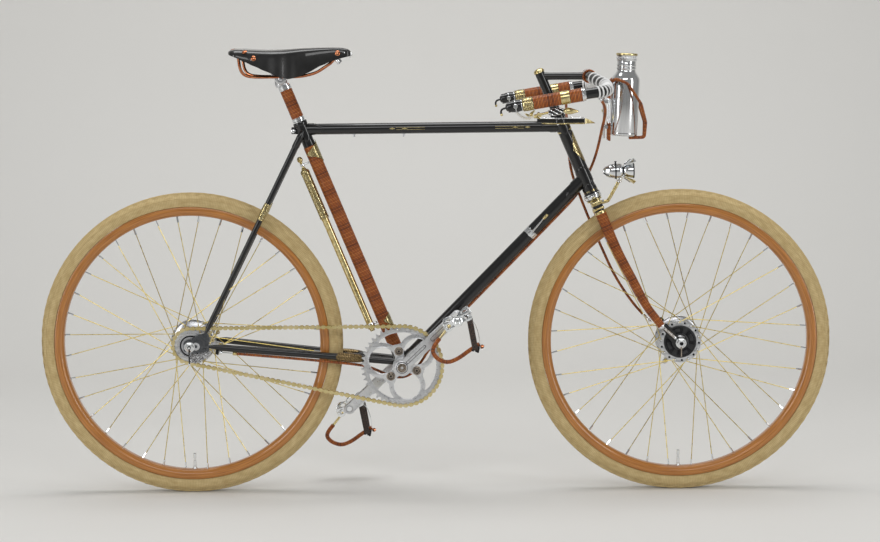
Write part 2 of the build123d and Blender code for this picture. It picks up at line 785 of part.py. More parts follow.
def make_stem():
    """Quill and straight extension with the bar clamp at its end."""
    quill_top = head_tube_top + quill_rise
    quill = head_rod(head_tube_top - quill_depth, quill_top, quill_radius)
    arm = rod(head_point(stem_height), bar_centre, stem_diameter / 2)
    clamp = cross_rod(bar_centre, -clamp_width / 2, clamp_width / 2, bar_diameter / 2 + clamp_wall)
    cap = rod(head_point(quill_top), head_point(quill_top + 6), 12.0, 7.0)
    return quill + arm + clamp + cap - bar_room()


grip_foot = bar_centre + Vector(-25, bar_half_width, -33)


def make_handlebar():
    """Bar that bends forward from the clamp, sideways and then back to its grips."""
    bends = [(0, 30, 0), (31, 118, -17), (27, 222, -26)]
    half = [bar_centre + Vector(*bend) for bend in bends] + [grip_foot, bar_end]
    other = [Vector(point.X, -point.Y, point.Z) for point in reversed(half)]
    return bent_rod(other + half, [60, 42, 45, 60, 60, 45, 42, 60], bar_diameter / 2)


def make_grips():
    start, end = along(bar_end, grip_foot, grip_start), along(bar_end, grip_foot, grip_reach + 2)
    bore = rod(bar_end, grip_foot, bar_diameter / 2 + bearing_gap)
    return both(rod(start, end, grip_diameter / 2) - bore)


def make_brake_levers():
    """Reverse levers: a body in each bar end and a blade that runs forward under the grip."""
    body = rod(along(bar_end, grip_foot, -16), bar_end, 9.0, 12.5)
    bends = [(-10, -4), (22, -17), (72, -18), (158, -12)]
    blade = bent_rod([bar_end + Vector(x, 0, z) for x, z in bends], [20, 60], 4.0)
    return both(body + (blade - rod(bar_end, grip_foot, grip_diameter / 2 + seat_gap)))


bottle_foot = bar_centre + Vector(bottle_ahead, 0, -bottle_drop)
bottle_axis = Vector(bottle_lean, 0, 1)
strap_centre = bar_centre + Vector(strap_ahead, 0, -80)


def make_bottle():
    """Thin steel bottle with an open neck."""
    r, neck, w, top = bottle_radius, bottle_neck_radius, bottle_wall, bottle_height
    profile = [(0, 0), (r - 4, 0), (r, 5), (r, top - 44), (r - 3, top - 34), (neck, top - 23), (neck, top),
               (neck - w, top), (neck - w, top - 24), (r - 3 - w, top - 35), (r - w, top - 45), (r - w, 6),
               (r - 4 - w, w), (0, w)]
    return turned(profile, bottle_foot, bottle_axis)


def make_bottle_cap():
    low, high = bottle_height + 0.2, bottle_height + 0.2 + cap_height
    return turned([(0, low), (cap_radius, low), (cap_radius, high), (0, high)], bottle_foot, bottle_axis)


def make_bottle_strap():
    """Upright bar behind the bottle, carried by an arm from the stem clamp."""
    strap = Pos(strap_centre) * Box(strap_thickness, strap_width, strap_length)
    arm = rod(bar_centre + Vector(8, 0, -8), bar_centre + Vector(34, 0, -21), 5.0)
    solid = strap + arm
    for drop in (59, 117):
        seat = bar_centre + Vector(strap_ahead + strap_thickness / 2 + 2.7, 0, -drop)
        solid += cross_rod(seat, -18, 18, 3.0)
    return solid - bar_room(clamp_wall)


def make_bottle_cage():
    """Two wrapped rods that rise behind the bottle, hug it and run under it."""
    bends = [(46, 19, -149), (46, 19, -17), (60, 34, -5), (87, 41, -17), (118, 38, -64), (130, 22, -107),
             (128, 10, -142), (91, 8, -142.8)]
    half = bent_rod([bar_centre + Vector(*bend) for bend in bends], [7, 14, 20, 24, 20, 7], cage_rod / 2)
    foot = cross_rod(bar_centre + Vector(93, 0, -142.8), -8, 8, cage_rod / 2)
    return half + mirrored(half) + foot - make_bottle_strap()


def make_headlamp():
    """Bullet body, neck and flared reflector on a bent bracket from the crown."""
    profile = [(0, -42), (8, -40), (15, -32), (18, -20), (18, 2), (12, 8), (12, 11), (20, 16), (26, 30),
               (24, 30), (18, 17), (9, 12), (0, 12)]
    lamp = turned(profile, crown_centre + Vector(lamp_ahead, 0, lamp_lift), Vector(1, 0, 0.02))
    bends = [(5.5, 2), (25.5, 6), (47.5, 43), (lamp_ahead - 4, lamp_lift - 12)]
    bracket_rod = bent_rod([crown_centre + Vector(x, 0, z) for x, z in bends], [8, 16], 4.0)
    room = head_rod(crown_height - 30, head_tube_bottom + 23, cup_diameter / 2 - 1.5 + seat_gap)
    return lamp + (bracket_rod - crown_block() - room)


# Cords: the leather-covered brake cable of the fork and the one that runs back along the frame
cable_diameter = 5.0
front_cable = [(884, 205, 917), (884, 190, 890), (882, 150, 872), (880, 95, 856), (880, 48, 832),
               (880, 28, 796), (884, 24, 756), (892, 22, 726), (901, 20, 702), (914, 24, 668),
               (933, 36, 622), (958, 50, 566), (988, 60, 500), (1022, 66, 446), (1052, 68, 408), (1078, 66, 384)]
rear_cable = [(938, -190, 922), (952, -150, 906), (956, -96, 880), (952, -44, 846), (947, -6, 806),
              (938, 20, 768), (924, 27, 736), (910, 21, 710), (896, 8, 690), (869, 0, 661), (594, 0, 382),
              (556, -3, 340), (532, -8, 301), (505, -14, 271), (468, -20, 270), (430, -25, 290),
              (385, -30, 306.5), (60, -58.5, 339)]
front_flanges = ((flange_radius - 5, flange_radius, -30.5), (drum_radius - 4, drum_radius, 29.5))
rear_flanges = ((rear_small_flange - 4, rear_small_flange, -33.5), (drum_radius - 4, drum_radius, 25.5))
front_brake = make_brake_plate(front_axle, front_plate_face, front_dropout_inside, front_brake_angle)
rear_brake = make_brake_plate(rear_axle, rear_plate_face, rear_dropout_inside, rear_brake_angle)

nodes = {
    "seat_tube": make_seat_tube(),
    "head_tube": make_head_tube(),
    "top_tube": make_top_tube(),
    "down_tube": make_down_tube(),
    "bottom_bracket_shell": make_shell(),
    "seat_stays": make_seat_stays(),
    "chain_stays": make_chain_stays(),
    "rear_dropouts": make_rear_dropouts(),
    "rear_axle": make_axle(rear_axle, rear_dropout_inside, rear_axle_free),
    "rear_brake_plate": rear_brake,
    "seat_post": make_seat_post(),
    "seat_clamp": make_seat_clamp(),
    "saddle_rails": make_saddle_rails(),
    "saddle_top": make_saddle(),
    "seat_leather": make_seat_leather(),
    "pump": make_pump(),
    "gear_shifter": make_shifter(),
    "head_plate": make_head_plate(),
    "chain": make_chain(),
    "rear_cable": cord(rear_cable, cable_diameter),
    "fork_blades": make_fork_blades(),
    "fork_leather": make_fork_leather(),
    "fork_crown": make_fork_crown(),
    "headset_nut": make_headset_nut(),
    "stem": make_stem(),
    "handlebar": make_handlebar(),
    "grips": make_grips(),
    "brake_levers": make_brake_levers(),
    "bottle": make_bottle(),
    "bottle_cap": make_bottle_cap(),
    "bottle_strap": make_bottle_strap(),
    "bottle_cage": make_bottle_cage(),
    "headlamp": make_headlamp(),
    "front_axle": make_axle(front_axle, front_dropout_inside, front_axle_free),
    "front_brake_plate": front_brake,
    "front_cable": cord(front_cable, cable_diameter),
    "front_tyre": make_tyre(front_axle),
    "front_rim": make_rim(front_axle),
    "front_hub": make_front_hub(),
    "front_spokes": make_spokes(front_axle, front_flanges),
    "rear_tyre": make_tyre(rear_axle),
    "rear_rim": make_rim(rear_axle),
    "rear_hub": make_rear_hub(),
    "rear_spokes": make_spokes(rear_axle, rear_flanges),
    "chainring": make_chainring(),
    "right_crank": make_right_crank(),
    "left_crank": make_left_crank(),
    "sprocket": make_sprocket(),
    "right_pedal": make_pedal(-1),
    "right_toe_clip": make_toe_clip(-1),
    "left_pedal": make_pedal(1),
    "left_toe_clip": make_toe_clip(1),
}

shift = Pos(-rider_point)
for name, solid in nodes.items():
    export_step(shift * solid, "parts/" + name + ".step")
print(len(nodes), "nodes written")
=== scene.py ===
import json
from functools import partial
from math import acos, atan2, cos, hypot, pi, radians, sin, tan

import bmesh
import bpy
from mathutils import Matrix, Vector
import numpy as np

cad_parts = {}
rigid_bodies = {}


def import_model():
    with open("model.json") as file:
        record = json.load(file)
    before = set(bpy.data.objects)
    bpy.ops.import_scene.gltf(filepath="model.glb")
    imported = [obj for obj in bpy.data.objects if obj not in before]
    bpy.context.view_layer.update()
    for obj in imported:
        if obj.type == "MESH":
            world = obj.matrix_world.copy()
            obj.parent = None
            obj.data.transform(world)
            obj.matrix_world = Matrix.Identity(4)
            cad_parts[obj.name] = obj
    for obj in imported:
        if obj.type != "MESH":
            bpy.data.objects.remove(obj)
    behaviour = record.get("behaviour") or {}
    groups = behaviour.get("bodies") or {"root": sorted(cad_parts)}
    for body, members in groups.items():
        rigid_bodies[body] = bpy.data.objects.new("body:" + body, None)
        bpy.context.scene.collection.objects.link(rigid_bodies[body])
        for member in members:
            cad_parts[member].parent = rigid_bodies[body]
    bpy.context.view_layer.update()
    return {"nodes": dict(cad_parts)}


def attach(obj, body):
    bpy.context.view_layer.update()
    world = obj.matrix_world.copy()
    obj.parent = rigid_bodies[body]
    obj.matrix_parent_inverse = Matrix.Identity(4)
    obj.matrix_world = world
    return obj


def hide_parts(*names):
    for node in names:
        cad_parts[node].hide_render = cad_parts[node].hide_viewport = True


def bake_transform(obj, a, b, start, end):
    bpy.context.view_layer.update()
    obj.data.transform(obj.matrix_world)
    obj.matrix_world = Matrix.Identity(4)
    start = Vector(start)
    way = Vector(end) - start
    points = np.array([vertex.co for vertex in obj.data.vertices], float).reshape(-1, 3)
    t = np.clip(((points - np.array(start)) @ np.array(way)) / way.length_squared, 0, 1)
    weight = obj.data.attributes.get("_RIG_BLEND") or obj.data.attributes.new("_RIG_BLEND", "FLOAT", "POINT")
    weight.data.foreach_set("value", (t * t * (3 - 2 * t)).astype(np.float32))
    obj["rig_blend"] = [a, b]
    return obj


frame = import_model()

scene = bpy.context.scene
nodes = frame["nodes"]
print("frame loaded,", len(nodes), "nodes")

# Places are worked out in workshop millimetres: x from the rear axle, y from the middle plane to the
# rider's left, z from the ground. intoFrame takes a finished mesh to metres from the rider's seat.
layout = {
    "seat": (205.0, 0.0, 1034.0),
    "wheelBase": 1135.4,
    "axleHeight": 352.0,
    "bracket": (490.0, 0.0, 301.5),
    "seatAngle": 67.6,
    "headAngle": 66.7,
    "forkOffset": 51.0,
    "crownUp": 369.3,
}
seat = Vector(layout["seat"])
bracket = Vector(layout["bracket"])
rearAxle = Vector((0, 0, layout["axleHeight"]))
frontAxle = Vector((layout["wheelBase"], 0, layout["axleHeight"]))
seatLean, headLean = radians(layout["seatAngle"]), radians(layout["headAngle"])
upSeat, upHead = Vector((-cos(seatLean), 0, sin(seatLean))), Vector((-cos(headLean), 0, sin(headLean)))
aheadOfSeat, aheadOfHead = Vector((upSeat.z, 0, -upSeat.x)), Vector((upHead.z, 0, -upHead.x))
headFoot = frontAxle - aheadOfHead * layout["forkOffset"]
alongX, alongY, alongZ = Vector((1, 0, 0)), Vector((0, 1, 0)), Vector((0, 0, 1))
barCentre = Vector((925, 0, 967))


def seatPoint(z):
    return bracket + upSeat * (z - bracket.z) / upSeat.z


def headPoint(z):
    return headFoot + upHead * (z - headFoot.z) / upHead.z


def forkPoint(ahead, out, up):
    return headFoot + aheadOfHead * ahead + alongY * out + upHead * up


def seated(x, y, z):
    return seat + Vector((x, y, z))


shift = Matrix.Translation
intoFrame = Matrix.Scale(0.001, 4) @ shift(-seat)


def spin(angle, axis):
    return Matrix.Rotation(angle, 4, axis)


# Meshes: each maker adds one closed shape, in millimetres, to a build
def newBuild(laced=False):
    build = bmesh.new()
    build.loops.layers.uv.new("UVMap")
    if laced:
        build.verts.layers.float.new("groove")
        build.verts.layers.float.new("turnTone")
    return build


# Position and turn with Z along a direction and X as near as can be to another
def placed(origin, direction=alongZ, near=alongX):
    z = Vector(direction).normalized()
    x = Vector(near) - z * z.dot(near)
    if x.length < 1e-4:
        x = alongY - z * z.dot(alongY)
    x.normalize()
    place = Matrix((x, z.cross(x), z)).transposed().to_4x4()
    place.translation = Vector(origin)
    return place


# Points round a circle about the Z of a place
def ringOn(place, radius, count, height=0.0):
    return [place @ Vector((radius * cos(a), radius * sin(a), height))
            for a in [2 * pi * i / count for i in range(count)]]


# Joins rings of points into walls; u runs round a ring and v from ring to ring, in metres
def skin(build, rings, finish, closedRound=True, closedAlong=False, capped=True, widths=None):
    uv = build.loops.layers.uv.active
    heights, height = [0.0], 0.0
    for before, after in zip(rings, rings[1:] + rings[:1]):
        height += max((after[0] - before[0]).length, (after[len(after) // 2] - before[len(before) // 2]).length)
        heights.append(height)
    made = [[build.verts.new(point) for point in ring] for ring in rings]
    count = max(len(ring) for ring in rings)
    span = widths or sum((a - b).length for a, b in zip(rings[len(rings) // 2], rings[len(rings) // 2][1:]))
    steps = len(rings) if closedAlong else len(rings) - 1
    for j in range(steps):
        low, high = made[j], made[(j + 1) % len(made)]
        for i in range(count if closedRound else count - 1):
            k = (i + 1) % count
            corners = [(low, i, heights[j]), (low, k, heights[j]), (high, k, heights[j + 1]),
                       (high, i, heights[j + 1])]
            wanted, seen = [], set()
            for ring, at, v in corners:
                vert = ring[at % len(ring)]
                if vert not in seen:
                    seen.add(vert)
                    wanted.append((vert, (i if at == i else i + 1) / count * span, v))
            if len(wanted) < 3:
                continue
            face = build.faces.new([vert for vert, _, _ in wanted])
            face.material_index = finish
            face.smooth = True
            for loop, (_, u, v) in zip(face.loops, wanted):
                loop[uv].uv = (u / 1000, v / 1000)
    if capped and not closedAlong:
        for ring in (made[0], made[-1]):
            if len(ring) > 2:
                face = build.faces.new(ring)
                face.material_index = finish
                for loop in face.loops:
                    loop[uv].uv = (loop.vert.co.x / 1000, loop.vert.co.z / 1000)
    return made


# Turned on a lathe: (radius, height) points about the line that leaves origin along direction
def turn(build, profile, origin, direction=alongY, sides=48, finish=0, hollow=False, near=alongX):
    place = placed(origin, direction, near)
    rings = []
    for radius, height in profile:
        around = 1 if radius < 0.01 else sides
        rings.append([place @ Vector((radius * cos(2 * pi * i / sides), radius * sin(2 * pi * i / sides), height))
                      for i in range(around)])
    widest = 2 * pi * max(radius for radius, _ in profile)
    return skin(build, rings, finish, closedAlong=hollow, widths=widest)


# A lathe profile that is the same below its middle as above, from the upper half's points
def evenSides(*upper):
    below = [(radius, -height) for radius, height in upper]
    return below + list(reversed(upper))


# Several turned shapes on one line: (profile, sides, finish, hollow), the last two left off when plain
def turnAll(build, origin, direction, *rows):
    for profile, sides, *rest in rows:
        finish, hollow = (*rest, 0, False)[:2]
        turn(build, profile, origin, direction, sides=sides, finish=finish, hollow=hollow)


# Points at even steps along a run of points
def evenly(path, step):
    spots, left = [path[0].copy()], step
    for start, end in zip(path, path[1:]):
        run = (end - start).length
        while run >= left > 0:
            start = start + (end - start) * left / run
            run, left = (end - start).length, step
            spots.append(start.copy())
        left -= run
    if (spots[-1] - path[-1]).length > step / 3:
        spots.append(path[-1].copy())
    return spots


# A tube along a path; radius may be a number or a rule of the distance run and the angle round
def tube(build, path, radius, sides=16, finish=0, capped=True, closed=False, flat=1.0, near=alongY):
    rings, run, side = [], 0.0, None
    for i, here in enumerate(path):
        before = path[i - 1] if i or closed else path[0]
        after = path[(i + 1) % len(path)] if i + 1 < len(path) or closed else path[-1]
        ahead = (after - before).normalized()
        side = (near if side is None else side) - ahead * ahead.dot(near if side is None else side)
        if side.length < 1e-5:
            side = alongX - ahead * ahead.x
        side.normalize()
        other = ahead.cross(side)
        if i:
            run += (here - path[i - 1]).length
        ring = []
        for k in range(sides):
            angle = 2 * pi * k / sides
            reach = radius(run, angle) if callable(radius) else radius
            ring.append(here + side * cos(angle) * reach + other * sin(angle) * reach * flat)
        rings.append(ring)
    size = radius(run / 2, 0) if callable(radius) else radius
    return skin(build, rings, finish, closedAlong=closed, capped=capped, widths=2 * pi * size)


# The smooth line that control points pull, as points in millimetres
def smoothed(points, order=3, resolution=12):
    line = bpy.data.curves.new("guide", "CURVE")
    line.dimensions = "3D"
    spline = line.splines.new("NURBS")
    spline.points.add(len(points) - 1)
    for point, place in zip(spline.points, points):
        point.co = (*place, 1)
    spline.order_u = order
    spline.use_endpoint_u = True
    spline.resolution_u = resolution
    holder = bpy.data.objects.new("guide", line)
    mesh = bpy.data.meshes.new_from_object(holder)
    path = [vertex.co.copy() for vertex in mesh.vertices]
    for item, store in ((holder, bpy.data.objects), (line, bpy.data.curves), (mesh, bpy.data.meshes)):
        store.remove(item)
    return path


# Straight runs with rounded corners of a given size
def bent(points, sizes, pieces=6):
    sizes = [sizes] * len(points) if isinstance(sizes, (int, float)) else [0, *sizes, 0]
    path = [Vector(points[0])]
    for i in range(1, len(points) - 1):
        here = Vector(points[i])
        back, on = Vector(points[i - 1]) - here, Vector(points[i + 1]) - here
        half = back.angle(on) / 2
        reach = min(sizes[i] / max(tan(half), 0.05), back.length * 0.48, on.length * 0.48)
        start, end = here + back.normalized() * reach, here + on.normalized() * reach
        for k in range(pieces + 1):
            t = k / pieces
            path.append(start * (1 - t) ** 2 + here * 2 * t * (1 - t) + end * t ** 2)
    path.append(Vector(points[-1]))
    return path


# A smooth line through every point given
def through(points, pieces=8):
    points = [Vector(point) for point in points]
    padded = [2 * points[0] - points[1]] + points + [2 * points[-1] - points[-2]]
    path = []
    for a, b, c, d in zip(padded, padded[1:], padded[2:], padded[3:]):
        for k in range(pieces):
            t = k / pieces
            path.append(b + ((c - a) * t + (2 * a - 5 * b + 4 * c - d) * t ** 2
                             + (3 * b - 3 * c + d - a) * t ** 3) / 2)
    return path + [points[-1]]


def flipped(points, side):
    return [Vector((point[0], point[1] * side, point[2])) for point in points]


# A flat plate cut to outlines of (x, y) points, later ones cutting holes, with eased edges
def plate(build, outlines, thickness, place, bevel=0.6, finish=0, steps=2):
    flat = bpy.data.curves.new("plate", "CURVE")
    flat.dimensions = "2D"
    flat.fill_mode = "BOTH"
    for outline in outlines:
        spline = flat.splines.new("POLY")
        spline.points.add(len(outline) - 1)
        for point, (x, y) in zip(spline.points, outline):
            point.co = (x, y, 0, 1)
        spline.use_cyclic_u = True
    flat.extrude = max(thickness / 2 - bevel, 0)
    flat.bevel_depth = bevel
    flat.bevel_resolution = steps
    flat.offset = -bevel
    holder = bpy.data.objects.new("plate", flat)
    mesh = bpy.data.meshes.new_from_object(holder)
    bpy.data.objects.remove(holder)
    bpy.data.curves.remove(flat)
    addMesh(build, mesh, place, finish)


def addMesh(build, mesh, place, finish):
    mesh.transform(place)
    held = len(build.faces)
    build.from_mesh(mesh)
    build.faces.ensure_lookup_table()
    uv = build.loops.layers.uv.active
    for face in build.faces[held:]:
        face.material_index = finish
        face.smooth = True
        for loop in face.loops:
            loop[uv].uv = (loop.vert.co.x / 1000, loop.vert.co.z / 1000)
    bpy.data.meshes.remove(mesh)


# A block with eased edges, its middle at the place's origin
def block(build, size, place, bevel=0.8, finish=0, steps=2):
    lump = bmesh.new()
    bmesh.ops.create_cube(lump, size=1.0, matrix=Matrix.Diagonal((*size, 1)))
    if bevel:
        bmesh.ops.bevel(lump, geom=lump.edges[:], offset=bevel, segments=steps, affect="EDGES", profile=0.5)
    mesh = bpy.data.meshes.new("block")
    lump.to_mesh(mesh)
    lump.free()
    addMesh(build, mesh, place, finish)


# Circle and arc points for outlines
def circle(radius, middle=(0, 0), count=32, start=0.0, end=360.0):
    whole = abs(end - start) >= 360
    steps = count if whole else count - 1
    return [(middle[0] + radius * cos(radians(start + (end - start) * i / steps)),
             middle[1] + radius * sin(radians(start + (end - start) * i / steps))) for i in range(count)]


# Finishes a build as one object of the scene that rides on a body
def addPiece(name, build, finishes, body, slotName, *replaced, smooth=35, blend=None):
    bmesh.ops.remove_doubles(build, verts=build.verts[:], dist=0.004)
    bmesh.ops.recalc_face_normals(build, faces=build.faces[:])
    mesh = bpy.data.meshes.new(name)
    build.to_mesh(mesh)
    build.free()
    for finish in finishes:
        mesh.materials.append(finish)
    return addMade(name, mesh, body, slotName, *replaced, smooth=smooth, blend=blend)


def addMade(name, mesh, body, slotName, *replaced, smooth=35, blend=None):
    mesh.transform(intoFrame)
    mesh.name = name
    for face in mesh.polygons:
        face.use_smooth = True
    mesh.set_sharp_from_angle(angle=radians(smooth))
    piece = bpy.data.objects.new(name, mesh)
    scene.collection.objects.link(piece)
    if blend:
        bodyA, bodyB, start, end = blend
        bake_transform(piece, bodyA, bodyB, start=intoFrame @ Vector(start), end=intoFrame @ Vector(end))
    else:
        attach(piece, body)
    if replaced:
        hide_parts(*replaced)
    return piece


# Node trees
def colour(hexCode):
    parts = [int(hexCode[i:i + 2], 16) / 255 for i in (1, 3, 5)]
    return (*[c / 12.92 if c <= 0.04045 else ((c + 0.055) / 1.055) ** 2.4 for c in parts], 1)


# Adds a node, sets what it is given and links any input that is given a socket
def addNode(tree, kind, inputs=None, **settings):
    node = tree.nodes.new(kind)
    for name, value in settings.items():
        setattr(node, name, value)
    for key, value in (inputs or {}).items():
        if isinstance(value, bpy.types.NodeSocket):
            tree.links.new(value, node.inputs[key])
        else:
            node.inputs[key].default_value = value
    return node


# The first output of a new node
def outOf(tree, kind, inputs=None, **settings):
    return addNode(tree, kind, inputs, **settings).outputs[0]


def mathOf(tree, operation, *values):
    return outOf(tree, "ShaderNodeMath", dict(enumerate(values)), operation=operation)


# A value stretched from one range to another and held inside it
def ranged(tree, value, low=0.0, high=1.0, toLow=0.0, toHigh=1.0):
    ends = {"From Min": low, "From Max": high, "To Min": toLow, "To Max": toHigh}
    return outOf(tree, "ShaderNodeMapRange", {"Value": value, **ends})


# Finishes: each one is mottled by the grain of its own making, sized in millimetres
def newFinish(name, tones, rough, grain, metallic=0.0, bump=0.1, depth=0.0002, along="Object", **shaderValues):
    finish = bpy.data.materials.new(name)
    finish.use_nodes = True
    tree = finish.node_tree
    shader = tree.nodes["Principled BSDF"]
    shader.inputs["Metallic"].default_value = metallic
    for key, value in shaderValues.items():
        shader.inputs[key.replace("_", " ")].default_value = value
    place = addNode(tree, "ShaderNodeTexCoord").outputs[along]
    scale = [1000 / size for size in (grain if isinstance(grain, tuple) else (grain,) * 3)]
    stretched = outOf(tree, "ShaderNodeMapping", {"Vector": place, "Scale": scale})
    noise = outOf(tree, "ShaderNodeTexNoise", {"Vector": stretched, "Scale": 1.0, "Detail": 3.0})
    spread = ranged(tree, noise, 0.3, 0.7)
    tint = addNode(tree, "ShaderNodeMix", {0: spread, 6: colour(tones[0]), 7: colour(tones[1])}, data_type="RGBA")
    sheen = addNode(tree, "ShaderNodeMapRange", {"Value": spread, "To Min": rough[0], "To Max": rough[1]})
    relief = addNode(tree, "ShaderNodeBump", {"Height": noise, "Strength": bump, "Distance": depth})
    tree.links.new(tint.outputs[2], shader.inputs["Base Color"])
    tree.links.new(sheen.outputs["Result"], shader.inputs["Roughness"])
    tree.links.new(relief.outputs["Normal"], shader.inputs["Normal"])
    return finish


def placeOf(finish):
    return finish.node_tree.nodes["Mapping"].inputs["Vector"].links[0].from_socket


# Lays a second tone over a finish where a mask is high, and lets the mask raise or sink the surface
def overlay(finish, mask, tone, depth=0.0, sheen=None):
    tree = finish.node_tree
    shader = tree.nodes["Principled BSDF"]
    under = shader.inputs["Base Color"].links[0].from_socket
    over = addNode(tree, "ShaderNodeMix", data_type="RGBA", inputs={0: mask, 6: under, 7: colour(tone)})
    tree.links.new(over.outputs[2], shader.inputs["Base Color"])
    if depth:
        below = shader.inputs["Normal"].links[0].from_socket
        relief = addNode(tree, "ShaderNodeBump", {"Height": mask, "Distance": abs(depth), "Normal": below},
                         invert=depth < 0)
        tree.links.new(relief.outputs["Normal"], shader.inputs["Normal"])
    if sheen is not None:
        smooth = shader.inputs["Roughness"].links[0].from_socket
        mixed = addNode(tree, "ShaderNodeMix", {0: mask, 2: smooth, 3: sheen}, data_type="FLOAT")
        tree.links.new(mixed.outputs[0], shader.inputs["Roughness"])


# Engraver's scrolls: a small spiral in every cell, 1 in the cut line and 0 beside it
def scrollMask(finish, cell, turns):
    tree, place = finish.node_tree, placeOf(finish)
    scaled = outOf(tree, "ShaderNodeVectorMath", {0: place, 3: 1000 / cell}, operation="SCALE")
    spots = addNode(tree, "ShaderNodeTexVoronoi", {"Vector": scaled, "Scale": 1.0, "Randomness": 0.55},
                    voronoi_dimensions="2D").outputs["Position"]
    arm = outOf(tree, "ShaderNodeVectorMath", {0: scaled, 1: spots}, operation="SUBTRACT")
    split = addNode(tree, "ShaderNodeSeparateXYZ", {0: arm}).outputs
    angle = mathOf(tree, "ARCTAN2", split[1], split[0])
    reach = addNode(tree, "ShaderNodeVectorMath", {0: arm}, operation="LENGTH").outputs["Value"]
    phase = mathOf(tree, "MULTIPLY_ADD", reach, turns * 2 * pi, angle)
    wave = mathOf(tree, "SINE", phase)
    return ranged(tree, wave, 0.1, 0.7)


newMetal = partial(newFinish, metallic=1.0)

# Baked lacquer on steel: near black with a wet coat that catches long clean highlights
blackLacquer = newFinish("blackLacquer", ("#020203", "#050506"), (0.3, 0.4), 14, bump=0.006, Coat_Weight=1.0,
                         Coat_Roughness=0.02, Specular_IOR_Level=0.2)

# Gold size lining under the lacquer: thin warm lines that show against the black
goldLine = newMetal("goldLine", ("#b9a468", "#e2d49c"), (0.25, 0.4), 4)

# Buffed aluminium: soft mirror with fine directionless buffing marks
buffedAluminium = newMetal("buffedAluminium", ("#cdced1", "#dfe0e2"), (0.26, 0.32), 8, bump=0.012)

# Turned aluminium: rings left by the lathe, drawn 1.6 mm apart so that they show
turnedAluminium = newMetal("turnedAluminium", ("#a9abaf", "#cdced2"), (0.2, 0.34), (40, 1.6, 1),
                           bump=0.25, along="UV")

# Chrome plate: clean mirror, a little hazy where hands rub it
chromePlate = newMetal("chromePlate", ("#dfe2e5", "#f2f4f5"), (0.03, 0.1), 30, bump=0.01)

# Polished stainless sheet: mirror with faint upright polishing marks
stainlessSteel = newMetal("stainlessSteel", ("#cfd0d2", "#ecedee"), (0.07, 0.18), (1.2, 60, 1),
                          bump=0.03, along="UV")

# Aged brass: warm yellow metal, browner where it isn't rubbed
agedBrass = newMetal("agedBrass", ("#bda568", "#ecdfae"), (0.14, 0.3), 9)

# Engraved brass: scroll cuts 6.5 mm across, filled with dark wax
engravedBrass = newMetal("engravedBrass", ("#c2ac70", "#efe3b4"), (0.14, 0.3), 5, along="UV")
overlay(engravedBrass, scrollMask(engravedBrass, 6.5, 1.6), "#4d3c1e", depth=-0.0003, sheen=0.5)

# Copper plate on rivets, rails and pedal knobs: rosy metal, a little browner in the handled places
copperPlate = newMetal("copperPlate", ("#9a5232", "#cf8f6a"), (0.12, 0.26), 9)

# Gold anodised wire: pale yellow that stays bright along the whole spoke
goldWire = newMetal("goldWire", ("#c2ab5a", "#e6d490"), (0.24, 0.36), 12)

# Gold plated chain steel with a film of oil: worn bright on the plates' faces
goldChain = newMetal("goldChain", ("#cfbc7c", "#efdfae"), (0.18, 0.32), 40)

# Blackened steel inside slots and springs; the dark plugs in the hub flanges' holes use it as painted shade in the
# bores
darkSteelAndBoreShade = newFinish("darkSteelAndBoreShade", ("#101012", "#2a2a2d"), (0.3, 0.5), 4, metallic=0.6)

# Leather lace wound round a tube: each turn has its own brown, painted shade darkens the grooves between turns, waxed
# on the crowns
laceLeather = newFinish("laceLeather", ("#93420f", "#bd6820"), (0.34, 0.5), 2.2, bump=0.25, depth=0.0003,
                        Coat_Weight=0.3, Coat_Roughness=0.2, Specular_IOR_Level=0.3)
tree = laceLeather.node_tree
turnTone = addNode(tree, "ShaderNodeAttribute", attribute_name="turnTone").outputs["Fac"]
pale = ranged(tree, turnTone, 0.6, 1, 0, 0.75)
overlay(laceLeather, pale, "#cc7a34")
deep = addNode(tree, "ShaderNodeMapRange", {"Value": turnTone, "From Min": 0.4, "From Max": 0.0, "To Max": 0.7})
overlay(laceLeather, deep.outputs["Result"], "#4c1e08")
# painted shade: the grooves between turns are coloured near black and made rougher
groove = addNode(tree, "ShaderNodeAttribute", attribute_name="groove").outputs["Fac"]
overlay(laceLeather, ranged(tree, groove, 0.15, 0.7), "#1d0a04", sheen=0.7)

# Blacked saddle hide: glossy with a fine pebble, 2.4 mm across, with painted shade darkening the pebble's valleys
saddleHide = newFinish("saddleHide", ("#070606", "#100f0f"), (0.3, 0.42), 16, bump=0.1, depth=0.0003,
                       Coat_Weight=0.9, Coat_Roughness=0.07, Specular_IOR_Level=0.3)
tree = saddleHide.node_tree
pebble = addNode(tree, "ShaderNodeTexVoronoi", {"Vector": placeOf(saddleHide), "Scale": 1000 / 2.4},
                 feature="SMOOTH_F1")
# painted shade: the sunk valleys of the pebble are coloured darker
overlay(saddleHide, ranged(tree, pebble.outputs["Distance"], 0.3, 0.7), "#050505", depth=-0.00004)

# Tooled black strap: stamped scrolls 5 mm across, brown where the dye has worn
tooledStrap = newFinish("tooledStrap", ("#141110", "#2a2320"), (0.3, 0.5), 5, along="UV")
overlay(tooledStrap, scrollMask(tooledStrap, 5.0, 1.4), "#4a3426", depth=0.0003)

# Worn bronze: brown metal engraved like the brass, dark in the cuts and rubbed pale on the high spots
wornBronze = newMetal("wornBronze", ("#7d684a", "#b39b6e"), (0.24, 0.4), 4, along="UV")
overlay(wornBronze, scrollMask(wornBronze, 5.5, 1.5), "#2c2013", depth=-0.0003, sheen=0.5)

